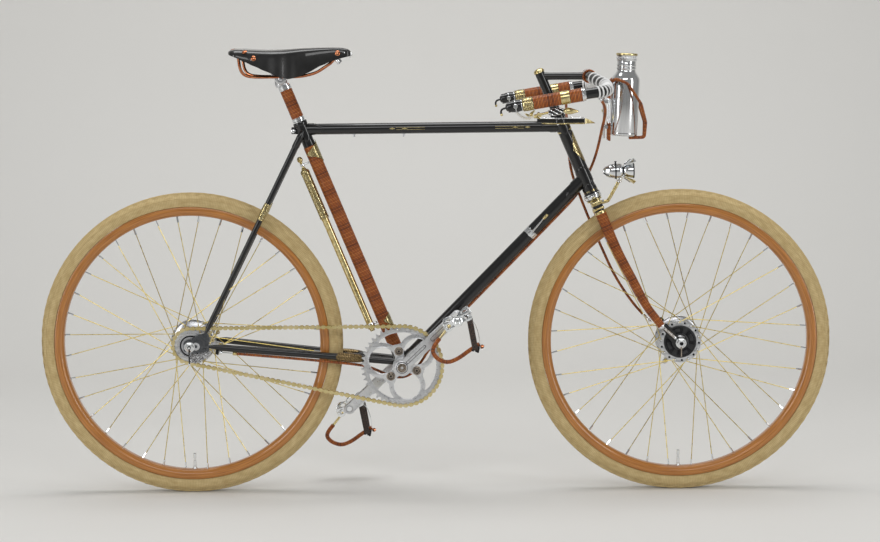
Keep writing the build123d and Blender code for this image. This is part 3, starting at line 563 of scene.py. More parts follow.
# Engraved silver plate beside the rear hub: pale metal with blackened scrolls
tooledSilver = newMetal("tooledSilver", ("#b4b4b7", "#dcdcdf"), (0.2, 0.34), 5, along="UV")
overlay(tooledSilver, scrollMask(tooledSilver, 6.0, 1.4), "#3b3936", depth=-0.0003, sheen=0.5)

# Warm grey steel of bolt heads, axle caps and the fork tips' thread: turned, with a brownish cast
warmSteel = newMetal("warmSteel", ("#857a6e", "#aca195"), (0.22, 0.36), 6)

# Charcoal plastic of the dynamo cover: half matt, greyer on the raised sectors
charcoalCover = newFinish("charcoalCover", ("#1e1e20", "#303033"), (0.36, 0.5), 6, bump=0.08)

# Grey steel of the wheel ends: forged and brushed, without a shine
greySteel = newMetal("greySteel", ("#4c4e51", "#6a6c6f"), (0.3, 0.46), 5, bump=0.12)

# Cream balloon-tyre rubber: matt and a little soiled, with ribs across the side wall drawn 4 mm apart
creamRubber = newFinish("creamRubber", ("#b59d6c", "#d0bb8b"), (0.6, 0.78), (22, 9, 1), bump=0.15, depth=0.0005,
                        along="UV", Specular_IOR_Level=0.35)
tree = creamRubber.node_tree
ribs = addNode(tree, "ShaderNodeTexWave", {"Vector": placeOf(creamRubber), "Scale": 2 * pi / 20 * 1000 / 4,
                                           "Distortion": 0.6}, bands_direction="X")
overlay(creamRubber, mathOf(tree, "MULTIPLY", ribs.outputs["Fac"], 0.35), "#93794a", depth=0.0002)

# Varnished beech rim: orange-brown with grain that runs round the hoop under a clear coat
varnishedBeech = newFinish("varnishedBeech", ("#955a1b", "#c07f36"), (0.28, 0.42), (70, 2.2, 1), bump=0.1,
                           along="UV", Coat_Weight=0.7, Coat_Roughness=0.12)

# Pressed lamp glass: near-white tones that are a painted reflection of the silvered bowl behind it, with fluting 3 mm
# wide drawn as grey stripes of painted shade
lampGlass = newFinish("lampGlass", ("#e8ecef", "#f8fafb"), (0.04, 0.1), 12, Coat_Weight=1.0, Coat_Roughness=0.02,
                      IOR=1.5, Transmission_Weight=0.35)
tree = lampGlass.node_tree
flutes = addNode(tree, "ShaderNodeTexWave", {"Vector": placeOf(lampGlass), "Scale": 2 * pi / 20 * 1000 / 3},
                 bands_direction="Y")
# painted shade: grey stripes follow the flutes
overlay(lampGlass, mathOf(tree, "MULTIPLY", flutes.outputs["Fac"], 0.5), "#aeb6bc", depth=0.0003)
print("finishes made")


# Geometry nodes: trees for what repeats
# A new tree, its inputs, and two makers that add a node or a sum to it and give its first output
def newTree(name, sizes):
    tree = bpy.data.node_groups.new(name, "GeometryNodeTree")
    tree.interface.new_socket("Geometry", in_out="INPUT", socket_type="NodeSocketGeometry")
    for label, value in sizes.items():
        kind = "NodeSocketInt" if isinstance(value, int) else "NodeSocketFloat"
        tree.interface.new_socket(label, in_out="INPUT", socket_type=kind).default_value = value
    tree.interface.new_socket("Finish", in_out="INPUT", socket_type="NodeSocketMaterial")
    tree.interface.new_socket("Geometry", in_out="OUTPUT", socket_type="NodeSocketGeometry")
    return tree, addNode(tree, "NodeGroupInput").outputs, partial(outOf, tree), partial(mathOf, tree)


def endTree(tree, shape, entry):
    real = outOf(tree, "GeometryNodeRealizeInstances", {0: shape})
    painted = outOf(tree, "GeometryNodeSetMaterial", {"Geometry": real, "Material": entry["Finish"]})
    addNode(tree, "NodeGroupOutput", {0: painted})


# Edges that join points one after the other
def inTurn(points):
    return [(i, i + 1) for i in range(len(points) - 1)]


# Runs a tree on points and edges given in millimetres and returns the plain mesh
def grow(tree, points, edges, finish, sizes=None, facing=None):
    mesh = bpy.data.meshes.new("seed")
    mesh.from_pydata([tuple(point) for point in points], edges, [])
    if facing:
        mesh.attributes.new("facing", "FLOAT_VECTOR", "POINT")
        for item, way in zip(mesh.attributes["facing"].data, facing):
            item.vector = way
    holder = bpy.data.objects.new("seed", mesh)
    scene.collection.objects.link(holder)
    modifier = holder.modifiers.new("grow", "NODES")
    modifier.node_group = tree
    values = {"Finish": finish, **(sizes or {})}
    for item in tree.interface.items_tree:
        if item.in_out == "INPUT" and item.name in values:
            modifier[item.identifier] = values[item.name]
    depsgraph = bpy.context.evaluated_depsgraph_get()
    made = bpy.data.meshes.new_from_object(holder.evaluated_get(depsgraph))
    bpy.data.objects.remove(holder)
    bpy.data.meshes.remove(mesh)
    return made


def joined(meshes):
    build = bmesh.new()
    finishes = []
    for mesh in meshes:
        held = len(build.faces)
        build.from_mesh(mesh)
        build.faces.ensure_lookup_table()
        finish = mesh.materials[0]
        if finish not in finishes:
            finishes.append(finish)
        for face in build.faces[held:]:
            face.material_index = finishes.index(finish)
        bpy.data.meshes.remove(mesh)
    mesh = bpy.data.meshes.new("joined")
    build.to_mesh(mesh)
    build.free()
    for finish in finishes:
        mesh.materials.append(finish)
    return mesh


# Round bars along loose edges or closed rings
rodTree, entry, put, sums = newTree("rods", {"Radius": 1.0, "Sides": 8})
line = put("GeometryNodeMeshToCurve", {0: entry["Geometry"]})
section = put("GeometryNodeCurvePrimitiveCircle", {"Resolution": entry["Sides"], "Radius": entry["Radius"]})
rods = addNode(rodTree, "GeometryNodeCurveToMesh", {"Curve": line, "Profile Curve": section, "Fill Caps": True})
endTree(rodTree, rods.outputs[0], entry)

# Domed heads on points, each turned to its "facing"
studTree, entry, put, sums = newTree("studs", {"Radius": 2.0, "Height": 1.0, "Sides": 12})
dome = put("GeometryNodeMeshUVSphere", {"Segments": entry["Sides"], "Rings": 6, "Radius": 1.0})
shape = put("ShaderNodeCombineXYZ", {0: entry["Radius"], 1: entry["Radius"], 2: entry["Height"]})
dome = put("GeometryNodeTransform", {"Geometry": dome, "Scale": shape})
way = put("GeometryNodeInputNamedAttribute", {"Name": "facing"}, data_type="FLOAT_VECTOR")
turned = put("FunctionNodeAlignRotationToVector", {"Vector": way}, axis="Z")
studs = put("GeometryNodeInstanceOnPoints", {"Points": entry["Geometry"], "Instance": dome, "Rotation": turned})
endTree(studTree, studs, entry)

# Hoops set across a path at even steps: coils, knurls and wound cord
hoopTree, entry, put, sums = newTree("hoops", {"Spacing": 2.0, "Radius": 5.0, "Wire": 0.8, "Sides": 20})
line = put("GeometryNodeMeshToCurve", {0: entry["Geometry"]})
line = put("GeometryNodeResampleCurve", {"Curve": line, "Length": entry["Spacing"]}, mode="LENGTH")
ring = put("GeometryNodeCurvePrimitiveCircle", {"Resolution": entry["Sides"], "Radius": entry["Radius"]})
wire = put("GeometryNodeCurvePrimitiveCircle", {"Resolution": 6, "Radius": entry["Wire"]})
hoop = put("GeometryNodeCurveToMesh", {"Curve": ring, "Profile Curve": wire})
tangent = put("GeometryNodeInputTangent")
turned = put("FunctionNodeAlignRotationToVector", {"Vector": tangent}, axis="Z")
hoops = put("GeometryNodeInstanceOnPoints", {"Points": line, "Instance": hoop, "Rotation": turned})
endTree(hoopTree, hoops, entry)

# Short threads laid along a path at even steps
stitchTree, entry, put, sums = newTree("stitches", {"Spacing": 5.0, "Length": 3.4, "Thread": 0.5})
line = put("GeometryNodeMeshToCurve", {0: entry["Geometry"]})
line = put("GeometryNodeResampleCurve", {"Curve": line, "Length": entry["Spacing"]}, mode="LENGTH")
bead = put("GeometryNodeMeshUVSphere", {"Segments": 6, "Rings": 4, "Radius": 1.0})
half = sums("MULTIPLY", entry["Length"], 0.5)
shape = put("ShaderNodeCombineXYZ", {0: entry["Thread"], 1: entry["Thread"], 2: half})
bead = put("GeometryNodeTransform", {"Geometry": bead, "Scale": shape})
tangent = put("GeometryNodeInputTangent")
turned = put("FunctionNodeAlignRotationToVector", {"Vector": tangent}, axis="Z")
threads = put("GeometryNodeInstanceOnPoints", {"Points": line, "Instance": bead, "Rotation": turned})
endTree(stitchTree, threads, entry)

# Waved tread ribs round a tyre
treadTree, entry, put, sums = newTree("tread", {"Waves": 90, "Swing": 1.2, "Width": 1.5, "Height": 0.6})
line = put("GeometryNodeMeshToCurve", {0: entry["Geometry"]})
count = sums("MULTIPLY", entry["Waves"], 6.0)
line = put("GeometryNodeResampleCurve", {"Curve": line, "Count": count}, mode="COUNT")
index = put("GeometryNodeInputIndex")
phase = sums("MULTIPLY", index, 2 * pi / 6)
swing = sums("SINE", phase)
swing = sums("MULTIPLY", swing, entry["Swing"])
aside = put("ShaderNodeCombineXYZ", {1: swing})
line = put("GeometryNodeSetPosition", {"Geometry": line, "Offset": aside})
line = put("GeometryNodeSetCurveNormal", {"Curve": line}, mode="Z_UP")
section = put("GeometryNodeCurvePrimitiveCircle", {"Resolution": 5, "Radius": 1.0})
shape = put("ShaderNodeCombineXYZ", {0: entry["Height"], 1: entry["Width"], 2: 1.0})
section = put("GeometryNodeTransform", {"Geometry": section, "Scale": shape})
tread = put("GeometryNodeCurveToMesh", {"Curve": line, "Profile Curve": section})
endTree(treadTree, tread, entry)
print("node trees made")

# Wheels
wheel = {
    "tyreMiddle": 331.0, "tyreRadius": 20.4, "tyreWall": 2.6, "bedAngle": 121.0,
    "treadAngles": (-34, -23, -12, 0, 12, 23, 34),
    "rimOuter": 320.0, "rimInner": 298.5, "rimHalf": 18.0,
    "spokes": 36, "crossings": 3, "spokeRadius": 1.0, "phase": 15.8, "lift": 1.6, "spread": 1.2, "dish": 0.12,
    "roundSteps": 180, "treadSteps": 120, "moulding": ((117, 0.5), (66, 0.35)),
    "nippleLength": 15.0, "nippleRadius": 2.3,
}
wheels = {
    "front": {"axle": frontAxle, "body": "front_wheel", "flanges": ((44.0, -30.5), (49.0, 29.5))},
    "rear": {"axle": rearAxle, "body": "rear_wheel", "flanges": ((29.0, -33.5), (49.0, 25.5))},
}


def inWheel(axle, radius, angle, y):
    return axle + Vector((radius * cos(angle), y, radius * sin(angle)))


def wheelRing(axle, radius, y, count):
    return [inWheel(axle, radius, 2 * pi * i / count, y) for i in range(count)]


def flatOn(centre, y):
    return shift((centre.x, y, centre.z)) @ spin(pi / 2, "X")


for end, facts in wheels.items():
    axle, body = facts["axle"], facts["body"]
    # tyre: a round wall with a finer skin of tread
    build = newBuild()
    outer = [radians(-wheel["bedAngle"] + 2 * wheel["bedAngle"] * i / 34) for i in range(35)]
    profile = [(wheel["tyreMiddle"] + wheel["tyreRadius"] * cos(a), wheel["tyreRadius"] * sin(a)) for a in outer]
    inner = wheel["tyreRadius"] - wheel["tyreWall"]
    profile += [(max(wheel["tyreMiddle"] + inner * cos(a), wheel["rimOuter"] + 0.2), inner * sin(a))
                for a in reversed(outer[::3])]
    turn(build, profile, axle, sides=wheel["roundSteps"], hollow=True)
    for side in (-1, 1):  # bead line and the moulded rings of the side wall
        for angle, proud in wheel["moulding"]:
            place = wheel["tyreMiddle"] + wheel["tyreRadius"] * cos(radians(angle))
            ring = wheelRing(axle, place, side * wheel["tyreRadius"] * sin(radians(angle)), wheel["roundSteps"])
            tube(build, ring, 0.5 + proud, sides=6, closed=True)
    addPiece(f"{end}TyreCasing", build, [creamRubber], body, "tyre_cream", f"{end}_tyre")
    ribs = []
    for angle in wheel["treadAngles"]:
        reach = wheel["tyreMiddle"] + wheel["tyreRadius"] * cos(radians(angle))
        ring = wheelRing(axle, reach, wheel["tyreRadius"] * sin(radians(angle)), wheel["treadSteps"])
        ribs.append(grow(treadTree, ring, inTurn(ring) + [(len(ring) - 1, 0)], creamRubber))
    addMade(f"{end}TyreTread", joined(ribs), body, "tyre_cream")

    # rim: a wooden hoop with a bed for the tyre
    build = newBuild()
    half, low, high = wheel["rimHalf"], wheel["rimInner"], wheel["rimOuter"]
    side = [(low, 6), (low + 0.5, 9), (low + 2.2, 12), (low + 5, 14.8), (low + 8, 17), (low + 11, half),
            (high - 1.5, half), (high, half - 1), (high, half - 3.4), (high - 9, half - 5), (high - 12, half - 10)]
    profile = side + [(radius, -y) for radius, y in reversed(side)]
    turn(build, profile, axle, sides=wheel["roundSteps"], hollow=True)
    addPiece(f"{end}RimHoop", build, [varnishedBeech], body, "rim_wood", f"{end}_rim")

    # spokes with their nipples and heads
    spokes, nipples, heads, ferrules = [], [], [], []
    perSide = wheel["spokes"] // 2
    step = 2 * pi / perSide
    for k, (holes, place) in enumerate(facts["flanges"]):
        for i in range(perSide):
            way = 1 if i % 2 else -1
            hubAngle = radians(wheel["phase"]) + (i + k / 2) * step
            rimAngle = hubAngle + way * step * wheel["crossings"]
            start = inWheel(axle, holes, hubAngle, place + wheel["lift"] * way)
            finish = inWheel(axle, low + 1, rimAngle, place * wheel["dish"] + wheel["spread"] * way)
            spokes += [start, finish]
            nipples += [finish + (start - finish).normalized() * wheel["nippleLength"], finish]
            ferrules.append(finish)
            heads.append(start + alongY * 1.6 * way)
    pairs = [(2 * i, 2 * i + 1) for i in range(wheel["spokes"])]
    wires = grow(rodTree, spokes, pairs, goldWire, {"Radius": wheel["spokeRadius"], "Sides": 8})
    ends = grow(rodTree, nipples, pairs, chromePlate, {"Radius": wheel["nippleRadius"], "Sides": 6})
    knobs = grow(studTree, heads, [], chromePlate, {"Radius": 2.2, "Height": 1.2}, facing=[alongY] * len(heads))
    rings = grow(studTree, ferrules, [], agedBrass, {"Radius": 4.2, "Height": 1.0},
                 facing=[(axle - spot).normalized() for spot in ferrules])
    addMade(f"{end}Spokes", joined([wires, ends, knobs, rings]), body, "spoke_gold", f"{end}_spokes")

    # valve with its nut and cap
    build = newBuild()
    stem = [(0, 0), (2.6, 0), (2.6, 2), (3.9, 2.4), (3.9, 7), (3.4, 7.6), (3.4, 20), (2.6, 20.5), (2.6, 26),
            (3.6, 26.4), (3.6, 36.5), (2.6, 37.8), (0, 38)]
    turn(build, stem, axle - alongZ * (low + 0.5), alongZ, sides=16)
    turn(build, [(0, 0), (6, 0), (6, 2.6), (3.4, 3.2), (0, 3.2)], axle - alongZ * (low + 0.4), alongZ, sides=6)
    addPiece(f"{end}Valve", build, [chromePlate], body, "chrome")
print("wheels made")

# Shared makers for tubes: lace windings, lugs, bands and brass patches

# Lace wound in turns along a path; each turn has its own tone and the grooves are marked so the finish paints shade
# into them
def lace(build, path, radius, pitch=3.0, proud=0.7, sides=20, finish=0, flat=1.0):
    steps = evenly(path, pitch / 4)
    core = radius if callable(radius) else (lambda run: radius)
    rule = lambda run, angle: core(run) + proud * abs(sin(pi * run / pitch)) ** 0.6
    made = tube(build, steps, rule, sides=sides, finish=finish, flat=flat)
    groove, tone = build.verts.layers.float["groove"], build.verts.layers.float["turnTone"]
    run = 0.0
    for j, ring in enumerate(made):
        run += (steps[min(j, len(steps) - 1)] - steps[max(j - 1, 0)]).length
        count = int(run / pitch)
        mix = 0.5 + 0.28 * sin(count * 12.99) + 0.22 * sin(count * 4.1 + 1.3)  # a tone for each turn
        for vert in ring:
            # groove weight is 1 between turns, where the finish paints shade
            vert[groove] = 1 - abs(sin(pi * run / pitch)) ** 0.7
            vert[tone] = min(max(mix, 0), 1)
    return made


def straight(start, end, pieces=1):
    return [start + (end - start) * i / pieces for i in range(pieces + 1)]


# A brazed lug: a sleeve whose far edge runs out in points, lined with a raised bead in the lining finish
def lug(build, origin, direction, radius, reach, points, tips=2, turnBy=0.0, wall=1.2, near=alongY, lining=0):
    place = placed(origin, direction, near)
    edge = lambda a: reach + points * (0.5 + 0.5 * cos(tips * (a - turnBy))) ** 2.2
    rings = []
    walls = ((0, wall), (0.5, wall), (0.85, wall), (0.95, wall * 0.85), (1.0, 0.3), (1.0, -0.3), (0, -0.3))
    for share, out in walls:
        rings.append([place @ Vector(((radius + out) * cos(a), (radius + out) * sin(a), share * edge(a)))
                      for a in [2 * pi * i / 48 for i in range(48)]])
    skin(build, rings, 0, closedAlong=True)
    line = [place @ Vector(((radius + 0.15) * cos(a), (radius + 0.15) * sin(a), edge(a) + 1.6))
            for a in [2 * pi * i / 72 for i in range(72)]]
    tube(build, line, 0.45, sides=6, finish=lining, closed=True)


def bandOn(build, origin, direction, radius, height, wall=1.0, finish=0, sides=40, ease=0.4):
    profile = [(radius - 0.4, 0), (radius + wall - ease, 0), (radius + wall, ease), (radius + wall, height - ease),
               (radius + wall - ease, height), (radius - 0.4, height)]
    turn(build, profile, origin, direction, sides=sides, finish=finish, hollow=True)


# A patch that hugs a tube: rows of (distance along, half width in degrees) about a facing direction
def patch(build, origin, direction, facing, radius, rows, proud=0.7, finish=0):
    place = placed(origin, direction, facing)
    rings = []
    for along, half in rows:
        spread = [radians(half) * (2 * i / 12 - 1) for i in range(13)]
        ring = [place @ Vector(((radius + proud) * cos(a), (radius + proud) * sin(a), along)) for a in spread]
        ring += [place @ Vector(((radius - 0.3) * cos(a), (radius - 0.3) * sin(a), along))
                 for a in reversed(spread)]
        rings.append(ring)
    skin(build, rings, finish)


def paint(finish, *names):
    for name in names:
        mesh = nodes[name].data
        mesh.materials.clear()
        mesh.materials.append(finish)


# Frame
paint(blackLacquer, "seat_tube", "head_tube", "top_tube", "down_tube", "bottom_bracket_shell")
frameTrim = {
    "topTube": 12.7, "headTube": 16.0, "downTube": 14.3, "seatTube": 14.3,
    "topRear": seatPoint(849), "topFront": headPoint(851.5), "downFront": headPoint(733),
    "liningShares": ((0.36, 0.385), (0.40, 0.47), (0.74, 0.81), (0.825, 0.85)),
    "brazeOns": (383, 498), "bracketHalf": 34, "liningLift": 2.4, "lining": 0.42,
    "lozenges": (0.3925, 0.8175, 0.345, 0.865),
    "stayFoot": Vector((34, 61, 377)), "stayHead": Vector((262, 19.5, 838)), "sleeve": (0.575, 0.655),
}
topRear, topFront, downFront = frameTrim["topRear"], frameTrim["topFront"], frameTrim["downFront"]
topWay, downWay = (topFront - topRear).normalized(), (downFront - bracket).normalized()
stayFoot, stayHead = frameTrim["stayFoot"], frameTrim["stayHead"]
build = newBuild()
# lugs at both ends of the head tube, on the top and down tubes, and round the seat tube's head
across = pi / 2
for start, way, size, reach, points, near, turnBy in (
        (headPoint(697.5), upHead, "headTube", 15, 9, aheadOfHead, across),
        (headPoint(856.5), -upHead, "headTube", 15, 9, aheadOfHead, across),
        (headPoint(722), upHead, "headTube", 30, 9, aheadOfHead, across),
        (topFront - topWay * 14, -topWay, "topTube", 16, 20, alongZ, across),
        (topRear + topWay * 12, topWay, "topTube", 16, 20, alongZ, across),
        (downFront - downWay * 18, -downWay, "downTube", 16, 24, alongY, 0.0),
        (bracket + downWay * 19, downWay, "downTube", 14, 22, alongY, 0.0),
        (bracket + upSeat * 19, upSeat, "seatTube", 10, 12, alongY, 0.0),
        (seatPoint(861.5), -upSeat, "seatTube", 34, 10, alongY, 0.0)):
    lug(build, start, way, frameTrim[size], reach, points, near=near, turnBy=turnBy)
# the shell's end faces and bearing cups
for side in (-1, 1):
    face = bracket + alongY * side * frameTrim["bracketHalf"]
    turn(build, [(9, -1.5), (17.5, -1.5), (19.2, 0), (19.2, 1.2), (14, 2.6), (9, 2.6)], face, alongY * side,
         hollow=True, finish=2)
# seat collar ears, and the stays' caps that wrap the seat cluster
for side in (-1, 1):
    ear = seatPoint(853) - aheadOfSeat * 18 + alongY * side * 4.4
    block(build, (15, 4.5, 16), placed(ear, alongZ, aheadOfSeat), 1.5)
    foot, tip = flipped((stayFoot, stayHead), side)
    way = (tip - foot).normalized()
    turn(build, [(0, 16), (3, 15), (5.6, 10), (7.6, 2), (7.9, -6), (7.9, -30), (7.2, -31), (0, -31)], tip - way * 4,
         way, sides=24)
# braze-ons under the top tube
for x in frameTrim["brazeOns"]:
    foot = topRear + topWay * (x - topRear.x)
    turn(build, [(0, 0), (3.2, 0), (3.2, 1.2), (1.8, 2.2), (1.8, 4.4), (2.6, 5), (2.6, 6.4), (0, 6.8)],
         foot - alongZ * 12.5, -alongZ, sides=12, finish=2)
# gold lining: two fine lines and lozenges on each side of the top tube, left bare between
for side in (-1, 1):
    for start, end in frameTrim["liningShares"]:
        for lift in (-frameTrim["liningLift"], frameTrim["liningLift"]):
            spots = [topRear + (topFront - topRear) * (start + (end - start) * i / 8) for i in range(9)]
            tube(build, [spot + alongZ * lift + alongY * side * (frameTrim["topTube"] ** 2 - lift ** 2) ** 0.5
                         for spot in spots], frameTrim["lining"], sides=6, finish=1)
    for share in frameTrim["lozenges"]:
        spot = topRear + (topFront - topRear) * share + alongY * side * 12.6
        plate(build, [[(-7, 0), (0, 2.4), (7, 0), (0, -2.4)]], 0.6, shift(spot) @ spin(pi / 2, "X"), bevel=0.15,
              finish=1, steps=1)
addPiece("frameLugs", build, [blackLacquer, goldLine, buffedAluminium], "frame", "black_lacquer")

# engraved brass: sleeves of the stays, the head tube's crest and the seat tube's corner pieces
build = newBuild()
for side in (-1, 1):
    foot, head = flipped((stayFoot, stayHead), side)
    way = (head - foot).normalized()
    low, high = frameTrim["sleeve"]
    spot, length = foot + (head - foot) * low, (head - foot).length * (high - low)
    turn(build, [(6.4, 0), (7.4, 0), (7.9, 1.5), (7.4, 3), (8.0, 6), (8.6, length / 2), (8.0, length - 6),
                 (7.5, length - 3), (8.0, length - 1.5), (7.4, length), (6.4, length)], spot, way, sides=24,
         hollow=True)
    # lens-shaped sleeve of the chain stay, swollen in the middle
    back, front = flipped(((336, 34.2, 322.9), (398, 29.2, 316.6)), side)
    lens = [(1 - (2 * i / 16 - 1) ** 2) for i in range(17)]
    place = placed(back, front - back, alongY * side)
    rings = []
    for i, swell in enumerate(lens):
        reach, half = 8.0 + 0.5 + 2.4 * swell, radians(14 + 150 * swell ** 0.6)
        ring = [place @ Vector((reach * cos(a), reach * sin(a), (front - back).length * i / 16))
                for a in [half * (2 * k / 20 - 1) for k in range(21)]]
        ring += [place @ Vector((7.7 * cos(a), 7.7 * sin(a), (front - back).length * i / 16))
                 for a in [half * (1 - 2 * k / 20) for k in range(21)]]
        rings.append(ring)
    skin(build, rings, 1)
crest = [(0, 2), (2.4, 33), (8, 46), (16.5, 62), (27.4, 79), (33.8, 89), (36.5, 88), (44, 76), (54.7, 63),
         (65.5, 47), (72, 33), (76, 16), (78, 2)]
patch(build, headPoint(764.8), upHead, aheadOfHead, 16.0, crest)
corner = [(0, 2), (4, 26), (8, 40), (12, 58), (15.6, 76), (21, 112), (25, 140), (28, 146), (31, 124), (33.4, 106),
          (38.3, 78), (42, 50), (45.4, 27), (50, 10), (54, 2)]
patch(build, seatPoint(770), upSeat, aheadOfSeat, 16.4, corner)
foot = [(0, 2), (8, 14), (16, 40), (24, 70), (30, 92), (33, 90), (36, 72), (40, 44), (44, 20), (47, 2)]
patch(build, seatPoint(373.6), upSeat, aheadOfSeat, 16.4, foot)
addPiece("engravedFittings", build, [engravedBrass, wornBronze], "frame", "brass")

# stays: straight tubes whose rear ends narrow to points on the wheel plates
build = newBuild()
for side in (-1, 1):
    foot, head = flipped((stayFoot, stayHead), side)
    taper = lambda run, angle: min(6.0 + run * 0.0019, 1.6 + run * 0.2)
    tube(build, straight(foot, head, 60), taper, sides=24)
    chainStay = bent(flipped(((34, 61, 353), (385, 30, 318), (470, 25, 309)), side), 60)
    taper = lambda run, angle: min(8.0, 1.6 + run * 0.16)
    tube(build, evenly(chainStay, 5), taper, sides=28)
addPiece("taperedStays", build, [blackLacquer], "frame", "black_lacquer", "seat_stays", "chain_stays")

# leather lace on the seat tube and the seat post, with polished rings at the post's ends
build = newBuild(laced=True)
lace(build, straight(seatPoint(343), seatPoint(810)), 15.0, pitch=3.0, proud=0.7, sides=28)
lace(build, straight(seatPoint(876), seatPoint(940)), 13.7, pitch=3.0, proud=0.7, sides=26)
addPiece("seatLacing", build, [laceLeather], "frame", "leather_tan", "seat_leather")
build = newBuild()
bandOn(build, seatPoint(868.5), upSeat, 13.1, 7, wall=1.9, ease=1.0)
bandOn(build, seatPoint(940.5), upSeat, 13.1, 9, wall=1.9, ease=1.2)
turn(build, [(13.0, -3), (15.6, -3), (16.6, -1), (16.6, 5), (15.6, 7), (13.0, 7)], seatPoint(860), upSeat,
     hollow=True, finish=1)
bolt = seatPoint(853) - aheadOfSeat * 21  # binder bolt through the collar's ears
turn(build, evenSides((0, 10), (3, 10), (4.6, 9), (4.6, 5.5), (2.6, 5)), bolt, alongY, sides=16)
addPiece("seatCollar", build, [chromePlate, blackLacquer], "frame", "chrome")
paint(chromePlate, "seat_post")

# seat clamp: serrated cheeks and the saddle's yoke
clamp = {
    "centre": seated(11.4, 0, -77), "teeth": 40, "foot": 13.0,
    "cheek": ((11.5, 0), (13, 1.5), (13, 9), (11.6, 11), (9.6, 11.6), (6.6, 11.6), (6.2, 10.4), (4.6, 10.4),
              (4.4, 13.6), (2.4, 14.4)),
}
build = newBuild()
cheekCentre = clamp["centre"] + alongZ * 9
for side in (-1, 1):
    base = cheekCentre + alongY * side * clamp["foot"]
    rings = []
    for reach, out in clamp["cheek"]:
        ring = []
        for i in range(2 * clamp["teeth"]):
            r = reach + (0.7 * (i % 2) if 1 < out < 11 and reach > 12 else 0)
            a = pi * i / clamp["teeth"]
            ring.append(base + Vector((r * cos(a), side * out, r * sin(a))))
        rings.append(ring)
    skin(build, rings, 0)
block(build, (44, 34, 9), placed(cheekCentre + alongZ * 7.5, alongZ), 3)
turn(build, [(0, -7), (12, -7), (14, -5), (15, 2), (12, 10), (0, 10)], clamp["centre"] - alongZ * 2,
     upSeat, sides=36)
addPiece("seatClamp", build, [buffedAluminium], "frame", "chrome", "seat_clamp")
print("frame made")

# Saddle: one thick hide stretched over a cantle and a nose plate
saddle = {
    # distance ahead of the rider, half width, height of the top and of the skirt's edge
    "stations": ((-105, 58, -3, -10), (-100, 72, 0, -13), (-87, 79, 2.2, -18), (-66, 79, 2.2, -28),
                 (-45, 76, 1.2, -38), (-20, 68, 0.4, -50), (8, 56, 0.4, -63), (31, 45, 0.8, -69.5),
                 (52, 36, 1.4, -65), (73, 29.5, 1.8, -56), (105, 24, 2.6, -39), (132, 20.5, 2.8, -28),
                 (150, 19, 2.2, -22.5), (163, 17, 0.2, -19.5), (170, 13.5, -3, -17.5), (173, 8, -7, -16)),
    "hide": 4.5, "sag": 1.6, "crown": 0.62,
    "rivets": ((-98, 44), (-100, 16)),
    "rail": ((-82, 56, -7), (-82, 55, -16), (-78, 54, -48), (-66, 49, -61), (-40, 36, -63.5), (-15, 24, -63.5),
             (20, 22, -63.5), (57, 22, -63.5), (92, 17, -56), (116, 12, -40), (128, 11, -32), (145, 11, -10),
             (147, 11, -7)),
}


def between(rows, x):
    for before, after in zip(rows, rows[1:]):
        if before[0] <= x <= after[0]:
            t = (x - before[0]) / (after[0] - before[0])
            t = t * t * (3 - 2 * t) * 0.35 + t * 0.65
            return [a + (b - a) * t for a, b in zip(before, after)]
    return rows[-1]


build = newBuild()
rings = []
for x in [-105 + 278 * i / 72 for i in range(73)]:
    _, half, top, skirt = between(saddle["stations"], x)
    drop = top - skirt
    sag = saddle["sag"] * max(0, 1 - ((x + 20) / 80) ** 2)  # the hide hangs a little between its plates
    outer = []
    for i in range(25):
        s = -1 + 2 * i / 24
        # the crown takes the middle share of the rows, the skirts the rest
        bend, past = min(abs(s) / saddle["crown"], 1), (abs(s) - saddle["crown"]) / 0.38
        onCrown = abs(s) <= saddle["crown"]
        y = half * (0.86 * bend ** 0.92 if onCrown else 0.86 + 0.14 * sin(past * pi / 2))
        fall = drop * (0.14 * bend ** 3 if onCrown else 0.14 + 0.86 * past ** 1.15)
        outer.append(Vector((x, y * (1 if s > 0 else -1), top - fall - sag * (1 - bend ** 2))))
    centre = Vector((x, 0, skirt - 10))
    inner = [spot + (centre - spot).normalized() * saddle["hide"] for spot in outer]
    for k in (0, -1):
        inner[k].z = outer[k].z + 0.3
    rings.append([seat + spot for spot in outer + list(reversed(inner))])
skin(build, rings, 0)
bmesh.ops.smooth_vert(build, verts=build.verts[:], factor=0.35, use_axis_x=True, use_axis_y=True, use_axis_z=True)
addPiece("saddleHide", build, [saddleHide], "frame", "leather_black", "saddle_top", smooth=60)

build = newBuild()
cantle = [seated(x, y, z) for x, y, z in ((-84, -64, -12), (-96, -56, -11), (-99, -30, -10), (-99, 0, -10),
                                          (-99, 30, -10), (-96, 56, -11), (-84, 64, -12))]
tube(build, smoothed(cantle), 5.2, sides=12, flat=0.5, finish=1, near=alongZ)
for side in (-1, 1):
    rail = smoothed([seated(*spot) for spot in flipped(saddle["rail"], side)])
    tube(build, rail, 3.5, sides=14)
block(build, (30, 34, 5), placed(seated(146, 0, -10), alongZ), 2, finish=1)
bolt = seated(152, 0, -13)
turn(build, [(0, -16), (3.4, -16), (3.4, -2), (6, -2), (6, 4), (4.2, 5), (4.2, 17), (6.5, 17.5), (6.5, 22),
             (5, 23.4), (0, 23.4)], bolt, Vector((0.94, 0, -0.1)), sides=14, finish=1)
for side in (-1, 1):
    turn(build, [(0, -3), (5.5, -3), (6, -2), (6, 7), (5, 8), (0, 8)], seated(143, side * 11, -27),
         Vector((0.6, 0, -0.8)), sides=16, finish=1)
addPiece("saddleUnderframe", build, [copperPlate, chromePlate], "frame", "copper", "saddle_rails")
spots, ways = [], []
